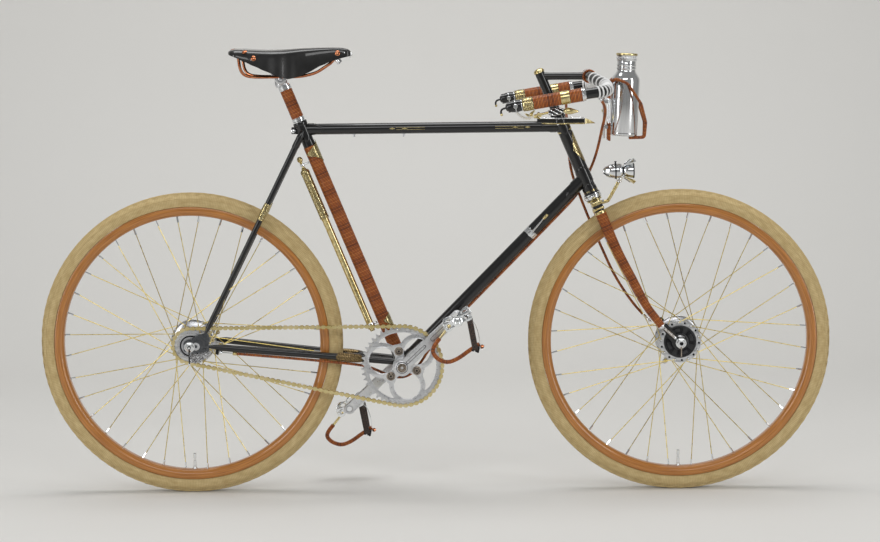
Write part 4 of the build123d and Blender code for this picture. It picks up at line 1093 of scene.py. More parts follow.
for x, y in saddle["rivets"]:
    for side in (-1, 1):
        _, half, top, skirt = between(saddle["stations"], x)
        share = y / half
        spots.append(seated(x + 1, y * side, top - 1.5 - (top - skirt) * 0.16 * min(share / 0.86, 1.2) ** 3))
        ways.append(Vector((-0.35, 0.25 * side, 1)).normalized())
for side in (-1, 1):
    spots += [seated(143, side * 18.8, -10.2), seated(-66, side * 70, -4.4), seated(-46, side * 73.2, -19.5)]
    ways += [Vector((0.1, side, 0.25)).normalized(), Vector((-0.2, 0.5 * side, 0.8)).normalized(),
             Vector((0, side, 0.3)).normalized()]
rivets = grow(studTree, spots, [], copperPlate, {"Radius": 6.2, "Height": 2.0, "Sides": 20}, facing=ways)
addMade("saddleRivets", rivets, "frame", "copper")
print("saddle made")

# Pump: engraved head, plain barrel, handle knob and two clips
pump = {"behind": 34.0, "foot": 378.0, "joint": 642.0, "head": 756.0, "barrel": 9.0}


def pumpPoint(z):
    return seatPoint(z) - alongX * pump["behind"] / upSeat.z


pumpFoot = pumpPoint(pump["foot"])
rise = lambda z: (z - pump["foot"]) / upSeat.z
build = newBuild()
joint, top = rise(pump["joint"]), rise(pump["head"])
turn(build, [(0, 0), (5, 0), (6, 1.5), (6, 5), (8.2, 6), (8.8, 8), (8.8, 16), (8.4, 17), (8.4, joint - 4),
             (8.9, joint - 2), (8.9, joint), (0, joint)], pumpFoot, upSeat, sides=36)
head = [(8.5, joint - 0.5), (10.4, joint + 0.5), (11, joint + 3), (10.4, joint + 6), (10.4, top - 12), (11, top - 9),
        (10.6, top - 5), (8, top - 1), (5.4, top), (4.0, top - 0.1)]
turn(build, head, pumpFoot, upSeat, sides=36, finish=1, hollow=True)
handle = [(0, 0), (5.2, 0), (5.8, 1.5), (4.6, 3), (3.4, 5), (3.0, 14), (3.6, 18), (5.4, 19.5), (6.4, 22), (6.5, 25),
          (5.6, 28.6), (3.4, 30.6), (0, 31.4)]
turn(build, handle, pumpPoint(pump["head"]), upSeat, sides=24)
addPiece("pumpBody", build, [agedBrass, engravedBrass], "frame", "brass", "pump")
build = newBuild()
for height, radius, wide in ((766, 3.4, 7), (392, pump["barrel"], 10)):
    bandOn(build, pumpPoint(height) - upSeat * wide / 2, upSeat, radius - 0.1, wide, wall=1.6, ease=0.6)
    turn(build, [(0, radius), (3.2, radius), (2.4, radius + 3), (2.4, 15.5), (4.2, 17.2), (0, 17.8)],
         pumpPoint(height), aheadOfSeat, sides=16)
addPiece("pumpClips", build, [chromePlate], "frame", "chrome")

# Gear lever on the down tube: chrome boss with a dark ring, chrome arm and a brass tip
boss = bracket + (downFront - bracket) * 0.705
build = newBuild()
bandOn(build, boss - downWay * 7, downWay, 14.2, 14, wall=1.2, finish=0)
stack = [(0, 10), (8.2, 10), (8.5, 11), (8.5, 14.5), (7.6, 15), (7.6, 16.5), (8.5, 17), (8.5, 20.5), (7.4, 22.4),
         (4.2, 23), (3.8, 21.8), (2.2, 22.2), (2, 24.6), (0, 25.4)]
turnAll(build, boss, -alongY,
        (stack, 32),
        ([(8.6, 15.0), (8.9, 15.4), (8.9, 16.2), (8.6, 16.6), (7.5, 16.4), (7.5, 15.2)], 32, 1, True))
start = boss + Vector((3, -22.5, 4))
arm = [start, start + Vector((8, -0.5, 9)), start + Vector((19, -1, 22)), start + Vector((29, -1.5, 34))]
tube(build, smoothed(arm), lambda run, angle: 4.6 - 0.045 * run, sides=14, flat=0.5, finish=0)
turn(build, [(0, -3), (2.4, -2), (3.2, 2), (3.4, 7), (2.6, 12), (0, 14)], start + Vector((27, -1.4, 31)),
     Vector((0.7, -0.03, 0.75)), sides=16, finish=2)
addPiece("gearLever", build, [chromePlate, darkSteelAndBoreShade, agedBrass], "frame", "chrome", "gear_shifter")
print("pump and gear lever made")

# Chain: outer and inner links laid in turn round the two toothed wheels
drive = {
    "chainLine": 46.0, "pitch": 12.7, "ringTeeth": 46, "sprocketTeeth": 20, "plateHeight": 4.8,
    "ringHoles": (48.0, 30.5), "slot": (52.0, 79.0, 42.0), "bolts": (35.5, 8.0), "firstHole": 44.0, "bore": 14.0,
}


def pitchRadius(teeth):
    return drive["pitch"] / 2 / sin(pi / teeth)


linkSizes = {"Links": 116, "Pitch": 12.7, "Height": 4.8, "Plate": 1.0, "Inner": 2.8, "Outer": 3.9}
linkTree, entry, put, sums = newTree("links", linkSizes)
line = put("GeometryNodeMeshToCurve", {0: entry["Geometry"]})
line = put("GeometryNodeResampleCurve", {"Curve": line, "Count": entry["Links"]}, mode="COUNT")
loop = put("GeometryNodeCurveToMesh", {"Curve": line})
pins = addNode(linkTree, "GeometryNodeInputMeshEdgeVertices").outputs
reach = addNode(linkTree, "ShaderNodeVectorMath", {0: pins["Position 2"], 1: pins["Position 1"]},
                operation="SUBTRACT")
loop = put("GeometryNodeStoreNamedAttribute", {"Geometry": loop, "Name": "way", "Value": reach.outputs[0]},
           data_type="FLOAT_VECTOR", domain="EDGE")
spots = put("GeometryNodeMeshToPoints", {"Mesh": loop}, mode="EDGES")
# figure-of-eight side plate: a circle pulled long, with a waist
ring = put("GeometryNodeCurvePrimitiveCircle", {"Resolution": 16, "Radius": 1.0})
where = put("GeometryNodeInputPosition")
split = addNode(linkTree, "ShaderNodeSeparateXYZ", {0: where}).outputs
square = sums("MULTIPLY", split[0], split[0])
waist = sums("MULTIPLY_ADD", square, 1.9, 0.42)
tall = sums("MULTIPLY", waist, entry["Height"])
tall = sums("MULTIPLY", tall, split[1])
long = sums("MULTIPLY_ADD", entry["Pitch"], 0.5, entry["Height"])
long = sums("MULTIPLY", long, split[0])
spread = put("ShaderNodeCombineXYZ", {0: long, 1: tall})
eight = put("GeometryNodeSetPosition", {"Geometry": ring, "Position": spread})
thick = put("ShaderNodeCombineXYZ", {2: entry["Plate"]})
stalk = put("GeometryNodeCurvePrimitiveLine", {"End": thick})
side = put("GeometryNodeCurveToMesh", {"Curve": stalk, "Profile Curve": eight, "Fill Caps": True})
back = sums("MULTIPLY", entry["Plate"], -0.5)
back = put("ShaderNodeCombineXYZ", {2: back})
side = put("GeometryNodeTransform", {"Geometry": side, "Translation": back})
kinds = []
for half, pinRadius, pinReach in ((entry["Outer"], 1.8, 4.9), (entry["Inner"], 3.7, 2.2)):
    parts = []
    for sign in (-1, 1):
        lift = sums("MULTIPLY", half, float(sign))
        lift = put("ShaderNodeCombineXYZ", {2: lift})
        parts.append(put("GeometryNodeTransform", {"Geometry": side, "Translation": lift}))
        pin = put("GeometryNodeMeshCylinder", {"Vertices": 10, "Radius": pinRadius, "Depth": 2 * pinReach})
        aside = sums("MULTIPLY", entry["Pitch"], sign / 2)
        aside = put("ShaderNodeCombineXYZ", {0: aside})
        parts.append(put("GeometryNodeTransform", {"Geometry": pin, "Translation": aside}))
    union = addNode(linkTree, "GeometryNodeJoinGeometry")
    for part in parts:
        linkTree.links.new(part, union.inputs[0])
    laid = put("GeometryNodeTransform", {"Geometry": union.outputs[0], "Rotation": (pi / 2, 0, 0)})
    kinds.append(put("GeometryNodeGeometryToInstance", {0: laid}))
choice = addNode(linkTree, "GeometryNodeJoinGeometry")
for kind in reversed(kinds):
    linkTree.links.new(kind, choice.inputs[0])
way = put("GeometryNodeInputNamedAttribute", {"Name": "way"}, data_type="FLOAT_VECTOR")
turned = put("FunctionNodeAlignRotationToVector", {"Vector": way}, axis="X", pivot_axis="Y")
index = put("GeometryNodeInputIndex")
turnAbout = sums("MODULO", index, 2.0)
links = put("GeometryNodeInstanceOnPoints", {"Points": spots, "Instance": choice.outputs[0], "Pick Instance": True,
                                             "Instance Index": turnAbout, "Rotation": turned})
endTree(linkTree, links, entry)

ringRadius, sprocketRadius = pitchRadius(drive["ringTeeth"]), pitchRadius(drive["sprocketTeeth"])
span = bracket - rearAxle
lean, reach = atan2(span.z, span.x), hypot(span.x, span.z)
opening = acos((sprocketRadius - ringRadius) / reach)
chainPath = []
for centre, radius, first, last, count in ((bracket, ringRadius, 0.0, lean + opening, 40),
                                           (rearAxle, sprocketRadius, lean + opening, lean - opening + 2 * pi, 40),
                                           (bracket, ringRadius, lean - opening, 0.0, 40)):
    for i in range(count + 1):
        angle = first + (last - first) * i / count
        chainPath.append(centre + Vector((radius * cos(angle), -drive["chainLine"], radius * sin(angle))))
chainPath.pop()
around = sum((b - a).length for a, b in zip(chainPath, chainPath[1:] + chainPath[:1]))
linkCount = 2 * round(around / drive["pitch"] / 2)
edges = [(i, (i + 1) % len(chainPath)) for i in range(len(chainPath))]
chain = grow(linkTree, chainPath, edges, goldChain,
             {"Links": linkCount, "Pitch": around / linkCount, "Height": drive["plateHeight"]})
addMade("chainLinks", chain, "frame", "chain_gold", "chain")
print("chain made,", linkCount, "links")


# Toothed wheels
def toothed(teeth, tip=3.2):
    radius, points = pitchRadius(teeth), []
    for i in range(teeth):
        for share, out in ((-0.16, -3.7), (0.0, -4.3), (0.16, -3.7), (0.28, -1.4), (0.42, tip - 0.6), (0.5, tip),
                           (0.58, tip - 0.6), (0.72, -1.4)):
            angle = (i + share) * 2 * pi / teeth
            points.append(((radius + out) * cos(angle), (radius + out) * sin(angle)))
    return points


def polar(radius, degrees):
    return (radius * cos(radians(degrees)), radius * sin(radians(degrees)))


# curved three-sided opening between two round holes of the chainring
def crescent(middle):
    low, high, web = drive["slot"]
    place = drive["ringHoles"][0]
    side = []
    for d in (high - 2.4, 74, 70, 65, 60, 56, low + 2.5):
        swing = 60 - (180 / pi) * acos((d * d + place * place - web * web) / (2 * place * d))
        side.append((d, swing))
    points = [polar(high, middle + a) for a in (26, 20, 12, 4, -4, -12, -20, -26)]
    points += [polar(high - 0.8, middle - side[0][1] + 0.6)] + [polar(d, middle - a) for d, a in side]
    points += [polar(low + 0.6, middle - side[-1][1] + 3), polar(low, middle - 3), polar(low, middle + 3),
               polar(low + 0.6, middle + side[-1][1] - 3)]
    points += [polar(d, middle + a) for d, a in reversed(side)] + [polar(high - 0.8, middle + side[0][1] - 0.6)]
    return points


holes = [drive["firstHole"] + third for third in (0, 120, 240)]
build = newBuild()
place, size = drive["ringHoles"]
outlines = [toothed(drive["ringTeeth"])] + [circle(size, polar(place, a), 40) for a in holes]
outlines += [crescent(a + 60) for a in holes] + [circle(drive["bore"], count=40)]
plate(build, outlines, 3.0, flatOn(bracket, -drive["chainLine"]), bevel=0.5)
turn(build, [(83.2, 0), (86.8, 0), (86.8, 1.0), (86.2, 1.7), (83.8, 1.7), (83.2, 1.0)], bracket - alongY * 47.4,
     -alongY, sides=120, hollow=True)
for a in holes:
    rim = flatOn(bracket, -47.6)
    spots = [rim @ Vector((*point, 0)) for point in circle(size + 1.2, polar(place, a), 48)]
    tube(build, spots, 0.8, sides=8, closed=True)
for a in holes:
    x, z = polar(drive["bolts"][0], a + 58)
    centre = bracket + Vector((x, -47, z))
    turnAll(build, centre, -alongY,
            ([(0, -6), (9.5, -6), (10.5, -4), (10.5, 0.4), (9.4, 1.2), (8.2, 1.2), (8.0, 2.6), (7.2, 3.4),
              (5.6, 3.4), (5.2, 2.4), (3.2, 2.0), (0, 2.0)], 28, 2),
            ([(5.2, 2.3), (5.5, 3.5), (6.2, 3.7), (6.6, 3.3)], 28, 1, True),
            ([(0, 1.8), (2.6, 1.8), (2.4, 2.6), (0, 3.0)], 6, 1))
addPiece("chainring", build, [buffedAluminium, darkSteelAndBoreShade, warmSteel], "crankset", "alloy", "chainring", smooth=40)

build = newBuild()
plate(build, [toothed(drive["sprocketTeeth"]), circle(25.2, count=40)], 3.0, flatOn(rearAxle, -drive["chainLine"]),
      bevel=0.5)
turnAll(build, rearAxle - alongY * 46, -alongY,
        ([(24.6, -1.4), (30, -1.4), (30.5, -0.6), (30.5, 2.2), (29.6, 3.0), (26.6, 3.0), (26, 2.2), (24.6, 2)], 64,
         0, True),
        ([(5.2, -8), (20, -8), (26.5, -3), (26.5, 0.6), (25.6, 1.6), (22.2, 1.6), (21.5, 1.0), (5.2, 1.0)], 64, 1,
         True),
        ([(5.2, 0.6), (21.2, 0.6), (21.2, 2.4), (20.4, 3.1), (16.6, 3.1), (16.2, 2.3), (12.6, 2.3), (12.2, 3.5),
          (8.6, 3.5), (8.2, 2.7), (5.2, 2.7)], 64, 2, True))
addPiece("sprocketWheel", build, [buffedAluminium, darkSteelAndBoreShade, turnedAluminium], "sprocket",
         "chain_gold", "sprocket")

# Cranks: tapered arms with two blackened flutes and an engraved axle cap
crank = {"length": 175.0, "angle": 43.0, "inside": 60.0, "thick": 13.0, "eye": 17.0, "pedalEye": 13.0,
         "flutes": ((18, 72, 5.4, 5.0), (97, 137, 8.4, 7.2))}


def stadium(start, end, wide, narrow=None):
    narrow = narrow or wide
    points = [(start - wide / 2 * sin(radians(a)), wide / 2 * cos(radians(a))) for a in range(0, 181, 20)]
    return points + [(end + narrow / 2 * sin(radians(a)), -narrow / 2 * cos(radians(a))) for a in range(0, 181, 20)]


for side, name in ((-1, "right"), (1, "left")):
    turnBy = crank["angle"] if side < 0 else crank["angle"] + 180
    face = shift(bracket) @ spin(-radians(turnBy), "Y")
    outer = side * (crank["inside"] + crank["thick"])
    build = newBuild()
    eye, tip = crank["eye"], crank["pedalEye"]
    outline = circle(eye, count=22, start=50, end=310) + circle(tip, (crank["length"], 0), 18, -110, 110)
    middle = side * (crank["inside"] + crank["thick"] / 2)
    plate(build, [outline, circle(6.6, (crank["length"], 0), 24)], crank["thick"],
          face @ shift((0, middle, 0)) @ spin(pi / 2, "X"), bevel=2.4, steps=3)
    for start, end, wide, inside in crank["flutes"]:
        floorOf = face @ shift((0, outer - side * 0.35, 0)) @ spin(pi / 2, "X")
        plate(build, [stadium(start, end, wide + 1.6), stadium(start + 0.6, end - 0.6, wide - 0.6)], 1.2, floorOf,
              bevel=0.25, finish=1, steps=1)
        ribs = int((end - start) / 2.4)
        for i in range(ribs):
            spot = start + (end - start) * (i + 0.5) / ribs
            block(build, (1.1, 0.9, wide - 2.0), face @ shift((spot, outer - side * 0.1, 0)), 0.2, steps=1)
    centre = bracket + alongY * outer
    turnAll(build, centre, alongY * side,
            ([(0, -0.5), (15.4, -0.5), (15.4, 0.6), (14.6, 1.0), (13.6, 1.0), (13.4, 0.2), (12.2, 0.2), (12.0, 2.2),
              (11.2, 2.8), (6.4, 3.2), (5.6, 2.4), (3.2, 2.4), (2.8, 1.6), (0, 1.6)], 48),
            ([(3.2, 2.5), (5.6, 2.5), (6.4, 3.3), (10.6, 3.0), (10.6, 3.4), (6.2, 3.8), (5.4, 3.0), (3.2, 3.0)], 48,
             2, True),
            ([(12.1, 0.1), (13.5, 0.1), (13.5, 0.8), (12.1, 0.8)], 48, 1, True),
            ([(3.0, 1.8), (5.6, 2.2), (5.6, 2.8), (3.0, 2.5)], 48, 1, True))
    for i in range(16):
        ray = shift(centre + alongY * side * 2.7) @ spin(2 * pi * i / 16, "Y")
        block(build, (3.6, 0.6, 0.6), ray @ shift((8.4, side * 0.9, 0)), 0.1, finish=1, steps=1)
    eyeAt = face @ Vector((crank["length"], outer, 0))
    turn(build, [(6.6, -0.4), (10.4, -0.4), (10.4, 0.9), (9.6, 1.4), (6.6, 1.4)], eyeAt, alongY * side, sides=36,
         hollow=True)
    if side < 0:
        turnAll(build, bracket, -alongY,
                ([(0, -73), (8, -73), (8, -39), (12, -39), (12, 27), (8.2, 27), (8.2, 30), (0, 30)], 32),
                ([(8, 33.5), (19, 33.5), (22, 36), (22, 43.6), (19.5, 44.4), (19.5, 48.6), (22, 49.2), (22, 60),
                  (17, 61.5), (8, 61.5)], 48, 0, True))
    addPiece(f"{name}CrankArm", build, [buffedAluminium, blackLacquer, warmSteel], "crankset", "alloy",
             f"{name}_crank")
print("chainring and cranks made")

# Pedals: quill cages with toothed rims, dust caps, lace-wrapped clips and tooled straps
pedal = {
    "middle": 124.0, "tilt": -29.0, "cageLength": 68.0, "cageHeight": 24.0,
    "clip": ((-17, -20, -17), (-26, -20, -28), (-40, -18, -46), (-53, -14, -62), (-58, -11, -76), (-48, -3, -90),
             (-34, 0, -97), (-20, 0, -99), (-4, 0, -93), (8, 0, -86), (24, 0, -74), (36, 0, -66), (50, 0, -57)),
    "wire": 4.2, "strapAt": 28.0, "strapWide": 13.0, "strapLean": 0.18,
}
for side, name in ((-1, "right"), (1, "left")):
    angle = radians(crank["angle"] + (0 if side < 0 else 180))
    hub = bracket + Vector((crank["length"] * cos(angle), 0, crank["length"] * sin(angle)))
    flip = shift(hub) @ Matrix.Diagonal((1, side, 1, 1))
    level = flip @ spin(radians(pedal["tilt"]), "Y")
    build = newBuild()
    shaft = newBuild()
    barrel = [(0, 60), (6.4, 60), (6.4, 76), (8.6, 76), (8.6, 79), (7.2, 80.5), (9.4, 84), (10.6, 88), (10.9, 96),
              (9.6, 104), (9.0, 124), (9.6, 144), (10.9, 152), (10.9, 160), (12.2, 161), (12.2, 164), (11.2, 166.6),
              (8.2, 168.6), (5.4, 169.2), (4.8, 168.2), (2.6, 168.2), (0, 168.8)]
    turn(shaft, barrel, (0, 0, 0), alongY, sides=36)
    mesh = bpy.data.meshes.new("barrel")
    shaft.to_mesh(mesh)
    shaft.free()
    addMesh(build, mesh, level, 0)
    long, tall = pedal["cageLength"] / 2, pedal["cageHeight"] / 2
    # end plates: waisted, pierced by two round windows and the axle's hole
    outline = [(-long, -tall + 5), (-long + 3, -tall), (-long + 12, -tall), (-13, -tall + 3.5), (13, -tall + 3.5),
               (long - 12, -tall), (long - 3, -tall), (long, -tall + 5), (long, tall - 5), (long - 3, tall),
               (long - 12, tall), (13, tall - 3.5), (-13, tall - 3.5), (-long + 12, tall), (-long + 3, tall),
               (-long, tall - 5)]
    for y, bore in ((86, 10.4), (158, 10.6)):
        plate(build, [outline, circle(bore - 3.6, count=24), circle(5.6, (-22, 0), 20), circle(5.6, (22, 0), 20)],
              2.6, level @ shift((0, y, 0)) @ spin(pi / 2, "X"), bevel=0.7)
    # side plates with a row of teeth along both edges
    for end in (-1, 1):
        teeth, span = [], 70.0
        for i in range(15):
            left = -span / 2 + span * i / 15
            teeth += [(left + 0.4, 6.8), (left + 1.6, 9.0), (left + 3.0, 9.0), (left + 4.2, 6.8)]
        outline = teeth + [(x, -z) for x, z in reversed(teeth)]
        windows = [stadium(-27, -11, 5.6), stadium(-7, 7, 5.6), stadium(11, 27, 5.6)]
        at = level @ shift((end * (long - 1.6), 122, 0)) @ spin(pi / 2, "Z")
        plate(build, [outline] + windows, 2.4, at @ spin(pi / 2, "X"), bevel=0.5, steps=1)
    # quill: bolts at the corners of the end plates
    for end in (-1, 1):
        for y in (86, 158):
            spot = level @ Vector((end * (long - 4), y - (2 if y > 100 else -2), 0))
            way = (level.to_3x3() @ Vector((0, 1 if y > 100 else -1, 0))).normalized()
            turn(build, [(0, 0), (3.8, 0), (3.8, 4.6), (2.6, 5.4), (0, 5.4)], spot, way, sides=6)
    addPiece(f"{name}PedalCage", build, [chromePlate], f"{name}_pedal", "chrome", f"{name}_pedal")

    clip = smoothed([flip @ Vector((x, pedal["middle"] + y, z)) for x, y, z in pedal["clip"]])
    build = newBuild(laced=True)
    started = evenly(clip, 1.0)
    wrapped = started[int(len(started) * 0.19):]
    lace(build, wrapped, pedal["wire"], pitch=2.8, proud=0.8, sides=16)
    addPiece(f"{name}ClipLacing", build, [laceLeather], f"{name}_pedal", "leather_tan", f"{name}_toe_clip")
    beads = started[:int(len(started) * 0.2)]
    coil = grow(hoopTree, beads, inTurn(beads), agedBrass,
                {"Spacing": 2.6, "Radius": 2.2, "Wire": 1.25, "Sides": 12})
    addMade(f"{name}ClipBeads", coil, f"{name}_pedal", "brass")
    # strap: a closed band of tooled hide round the cage and the clip's end, with its buckle and wire keeper
    build = newBuild()
    lean, half = pedal["strapLean"], pedal["strapWide"] / 2
    loop = [(0, 3), (20, 3), (34, 0), (36, -14), (33, -40), (27, -58), (17, -71), (0, -75), (-17, -71), (-27, -58),
            (-33, -40), (-36, -14), (-34, 0), (-20, 3)]
    ring = smoothed([Vector((0, y, z)) for y, z in loop + loop[:1]])[:-1]
    broad, rows = Vector((1, 0, -lean)).normalized(), []
    for i, spot in enumerate(ring):
        ahead = (ring[(i + 1) % len(ring)] - ring[i - 1]).normalized()
        out = alongX.cross(ahead)
        middle = spot + Vector((pedal["strapAt"] - lean * spot.z, pedal["middle"], 0))
        corners = [(-half, -1), (half, -1), (half + 0.4, 0), (half, 1), (-half, 1), (-half - 0.4, 0)]
        rows.append([flip @ (middle + broad * w + out * t) for w, t in corners])
    skin(build, rows, 0, closedAlong=True)
    foot = Vector((pedal["strapAt"] + lean * 70, pedal["middle"], -70))
    buckle = flip @ shift(foot) @ spin(radians(12), "Y")
    for y in (-17, 17):
        block(build, (17, 3, 12), buckle @ shift((0, y, 3)), 1.1, finish=1)
    for z in (-1.5, 7.5):
        turn(build, evenSides((0, 20), (2.0, 20), (2.6, 18.6)), buckle @ Vector((6, 0, z)), alongY,
             sides=14, finish=1)
    for y, z in ((19, -1), (19, 6), (-19, -1), (-19, 6)):
        turn(build, [(0, 0), (2.2, 0), (1.8, 1.2), (0, 1.6)], buckle @ Vector((-2, y, z)),
             alongY * (side if y > 0 else -side), sides=12, finish=2)
    wire = [Vector((x, pedal["middle"] + 4, z))
            for x, z in ((29, 1), (38, -6), (46, -26), (50, -46), (51, -62), (56, -72), (61, -62))]
    tube(build, smoothed([flip @ spot for spot in wire]), 0.9, sides=8, finish=2)
    knob = flip @ Vector((56, pedal["middle"], -63))
    turn(build, [(0, -5), (3, -4.2), (5, 0), (3, 4.2), (0, 5)], knob, alongX, sides=18, finish=3)
    addPiece(f"{name}ToeStrap", build, [tooledStrap, darkSteelAndBoreShade, chromePlate, copperPlate], f"{name}_pedal",
             "leather_black")
print("pedals made")

# Hubs: drilled flanges, turned shells and covers
hubs = {
    "front": {
        "axle": frontAxle, "body": "front_wheel", "node": "front_hub",
        "flanges": ((49, -30.5, 44, 3.0), (53, 29.5, 49, 3.0)),
        "shell": ((5.2, -29), (37, -29), (37.4, -27), (36, -24), (33, -18), (31.6, -8), (31.6, 8), (33, 18), (36, 24),
                  (46, 26), (50, 28), (50, 31), (47, 33), (44, 33), (44, 29), (5.2, 29)),
    },
    "rear": {
        "axle": rearAxle, "body": "rear_wheel", "node": "rear_hub",
        "flanges": ((33, -33.5, 29, 3.0), (53, 25.5, 49, 3.0)),
        "shell": ((5.2, -35.6), (22, -35.6), (24, -34), (26.6, -31), (27.4, -28), (28.6, -20), (29, -10), (29, 14),
                  (31, 18), (46, 21), (50, 24), (50, 27), (47, 29), (44, 29), (44, 25), (5.2, 25)),
    },
}
for end, facts in hubs.items():
    axle, build = facts["axle"], newBuild()
    turn(build, facts["shell"], axle, alongY, sides=72, hollow=True, finish=1)
    for k, (radius, y, holesAt, thick) in enumerate(facts["flanges"]):
        holes = [polar(holesAt, wheel["phase"] + 20 * (i + k / 2)) for i in range(18)]
        drilled = [circle(2.6, hole, 12) for hole in holes]
        plate(build, [circle(radius, count=72), circle(radius - 17 if radius < 50 else 45, count=48)] + drilled,
              thick, flatOn(axle, y), bevel=0.5, steps=1)
        for x, z in holes:  # each hole's bore filled by a dark plug: painted shade
            turn(build, evenSides((0, 0.9), (2.7, 0.9)), axle + Vector((x, y, z)), alongY, sides=10, finish=2)
        turn(build, [(radius - 1.6, -2.2), (radius - 0.4, -2.0), (radius, -1.4), (radius, 1.4), (radius - 0.4, 2.0),
                     (radius - 1.6, 2.2)], axle + alongY * y, alongY, sides=90, hollow=True)
    if end == "front":  # black cover of the hub dynamo with raised sectors round a polished boss
        cover = [(9, 0), (37.5, 0), (38, 1.4), (37.4, 3.0), (35.6, 3.6), (35, 2.4), (20, 2.4), (19.4, 4.6),
                 (17.6, 5.6), (9, 5.6)]
        turn(build, cover, axle - alongY * 31.5, -alongY, sides=72, hollow=True, finish=3)
        for i in range(4):
            swing = [20 + 90 * i + a for a in (-34, -17, 0, 17, 34)]
            sector = [polar(34, a) for a in swing] + [polar(19, a) for a in reversed(swing)]
            plate(build, [sector], 2.6, flatOn(axle, -34.8), bevel=0.9, finish=2, steps=1)
            plate(build, [[polar(31, a) for a in swing[1:4]] + [polar(23, a) for a in reversed(swing[1:4])]], 1.2,
                  flatOn(axle, -36.3), bevel=0.5, finish=3, steps=1)
        turn(build, [(6, 0), (15.4, 0), (15.4, 5), (14, 6.4), (10.4, 6.8), (10, 8.2), (6, 8.2)],
             axle - alongY * 36.0, -alongY, sides=48, hollow=True, finish=0)
    else:  # driver side: a black ring
        turn(build, [(8, 0), (24, 0), (24, 1.2), (8, 1.2)], axle - alongY * 35.4, -alongY, sides=60,
             hollow=True, finish=2)
    addPiece(f"{end}HubShell", build, [buffedAluminium, turnedAluminium, darkSteelAndBoreShade, charcoalCover], facts["body"],
             "alloy", facts["node"], smooth=30)

# Axles with threads, washers and nuts; brake plates with their arms
axles = {
    "front": {"axle": frontAxle, "body": "steering", "inside": 50.0, "free": 5.0, "plate": 34.0, "arm": 205.0},
    "rear": {"axle": rearAxle, "body": "frame", "inside": 60.0, "free": 3.0, "plate": 30.0, "arm": 100.0},
}
for end, facts in axles.items():
    axle, build, inside = facts["axle"], newBuild(), facts["inside"]
    reach = inside + 5 + 6 + facts["free"]
    turn(build, [(0, -reach), (3.8, -reach), (4.6, 0.9 - reach), (4.6, reach - 0.9), (3.8, reach), (0, reach)],
         axle, alongY, sides=24)
    for side in (-1, 1):
        foot = axle + alongY * side * (inside + 5.1)
        turn(build, [(4.8, 0), (12.4, 0), (12.4, 1.0), (11.8, 1.5), (4.8, 1.5)], foot, alongY * side, sides=40,
             hollow=True)
        nut = [(4.7, 1.4), (9.4, 1.4), (10.2, 2.2), (10.2, 5.2), (9.2, 6.1), (4.7, 6.1)]
        turn(build, nut, foot, alongY * side, sides=6, hollow=True)
        cap = [(4.7, 6.0), (7.6, 6.0), (7.4, 7.4), (6.4, 8.4), (4.7, 8.4)]
        turn(build, cap, foot, alongY * side, sides=24, hollow=True)
        turn(build, [(0, 0), (4.4, 0), (4.4, 0.5), (0, 0.5)], axle + alongY * side * (reach - 0.2), alongY * side,
             sides=20, finish=1)
    threads = []
    for side in (-1, 1):
        ends = [axle + alongY * side * (inside + 11), axle + alongY * side * (reach - 1)]
        threads.append(grow(hoopTree, ends, inTurn(ends), darkSteelAndBoreShade,
                            {"Spacing": 1.3, "Radius": 4.55, "Wire": 0.42, "Sides": 20}))
    if end == "front":  # small release lever hanging from the outer nut
        hinge = axle - alongY * (inside + 12.4)
        turn(build, evenSides((4.8, 1.6), (8.2, 1.6)), hinge, -alongY, sides=28, hollow=True)
        arm = [hinge - alongZ * drop for drop in (7, 16, 31)]
        tube(build, arm, lambda run, angle: 2.1 + 0.03 * run, sides=12, flat=0.6, finish=2)
    addPiece(f"{end}AxleNuts", build, [chromePlate, darkSteelAndBoreShade, warmSteel], facts["body"], "chrome", f"{end}_axle")
    addMade(f"{end}AxleThread", joined(threads), facts["body"], "chrome")

    build = newBuild()
    face = facts["plate"]
    disc = [(5.4, face), (42.6, face), (42.8, face + 1.6), (41, face + 3), (37, face + 3), (36, face + 2.2),
            (26, face + 3.6), (24, face + 5.4), (20, face + 6), (20, inside - 2), (18, inside - 0.5),
            (5.4, inside - 0.5)]
    turn(build, disc, axle, alongY, sides=72, hollow=True)
    for i in range(12):
        rib = shift(axle + alongY * (face + 3.1)) @ spin(2 * pi * i / 12, "Y")
        block(build, (13, 2.4, 2.2), rib @ shift((31, 0, 0)), 0.7)
    swing = radians(facts["arm"])
    way = Vector((sin(swing), 0, cos(swing)))
    plate(build, [stadium(4, 64, 20, 12), circle(3, (62, 0), 16)], 4.0,
          shift(axle + alongY * (face + 9)) @ spin(swing - pi / 2, "Y") @ spin(pi / 2, "X"), bevel=0.9)
    turn(build, [(0, -4.5), (4.6, -4.5), (4.6, -2), (2.8, -2), (2.8, 3), (5, 3), (5, 6), (3.4, 7), (0, 7)],
         axle + way * 62 + alongY * (face + 9), alongY, sides=16, finish=1)
    addPiece(f"{end}BrakePlate", build, [buffedAluminium, agedBrass], facts["body"], "alloy", f"{end}_brake_plate")
print("hubs and axles made")

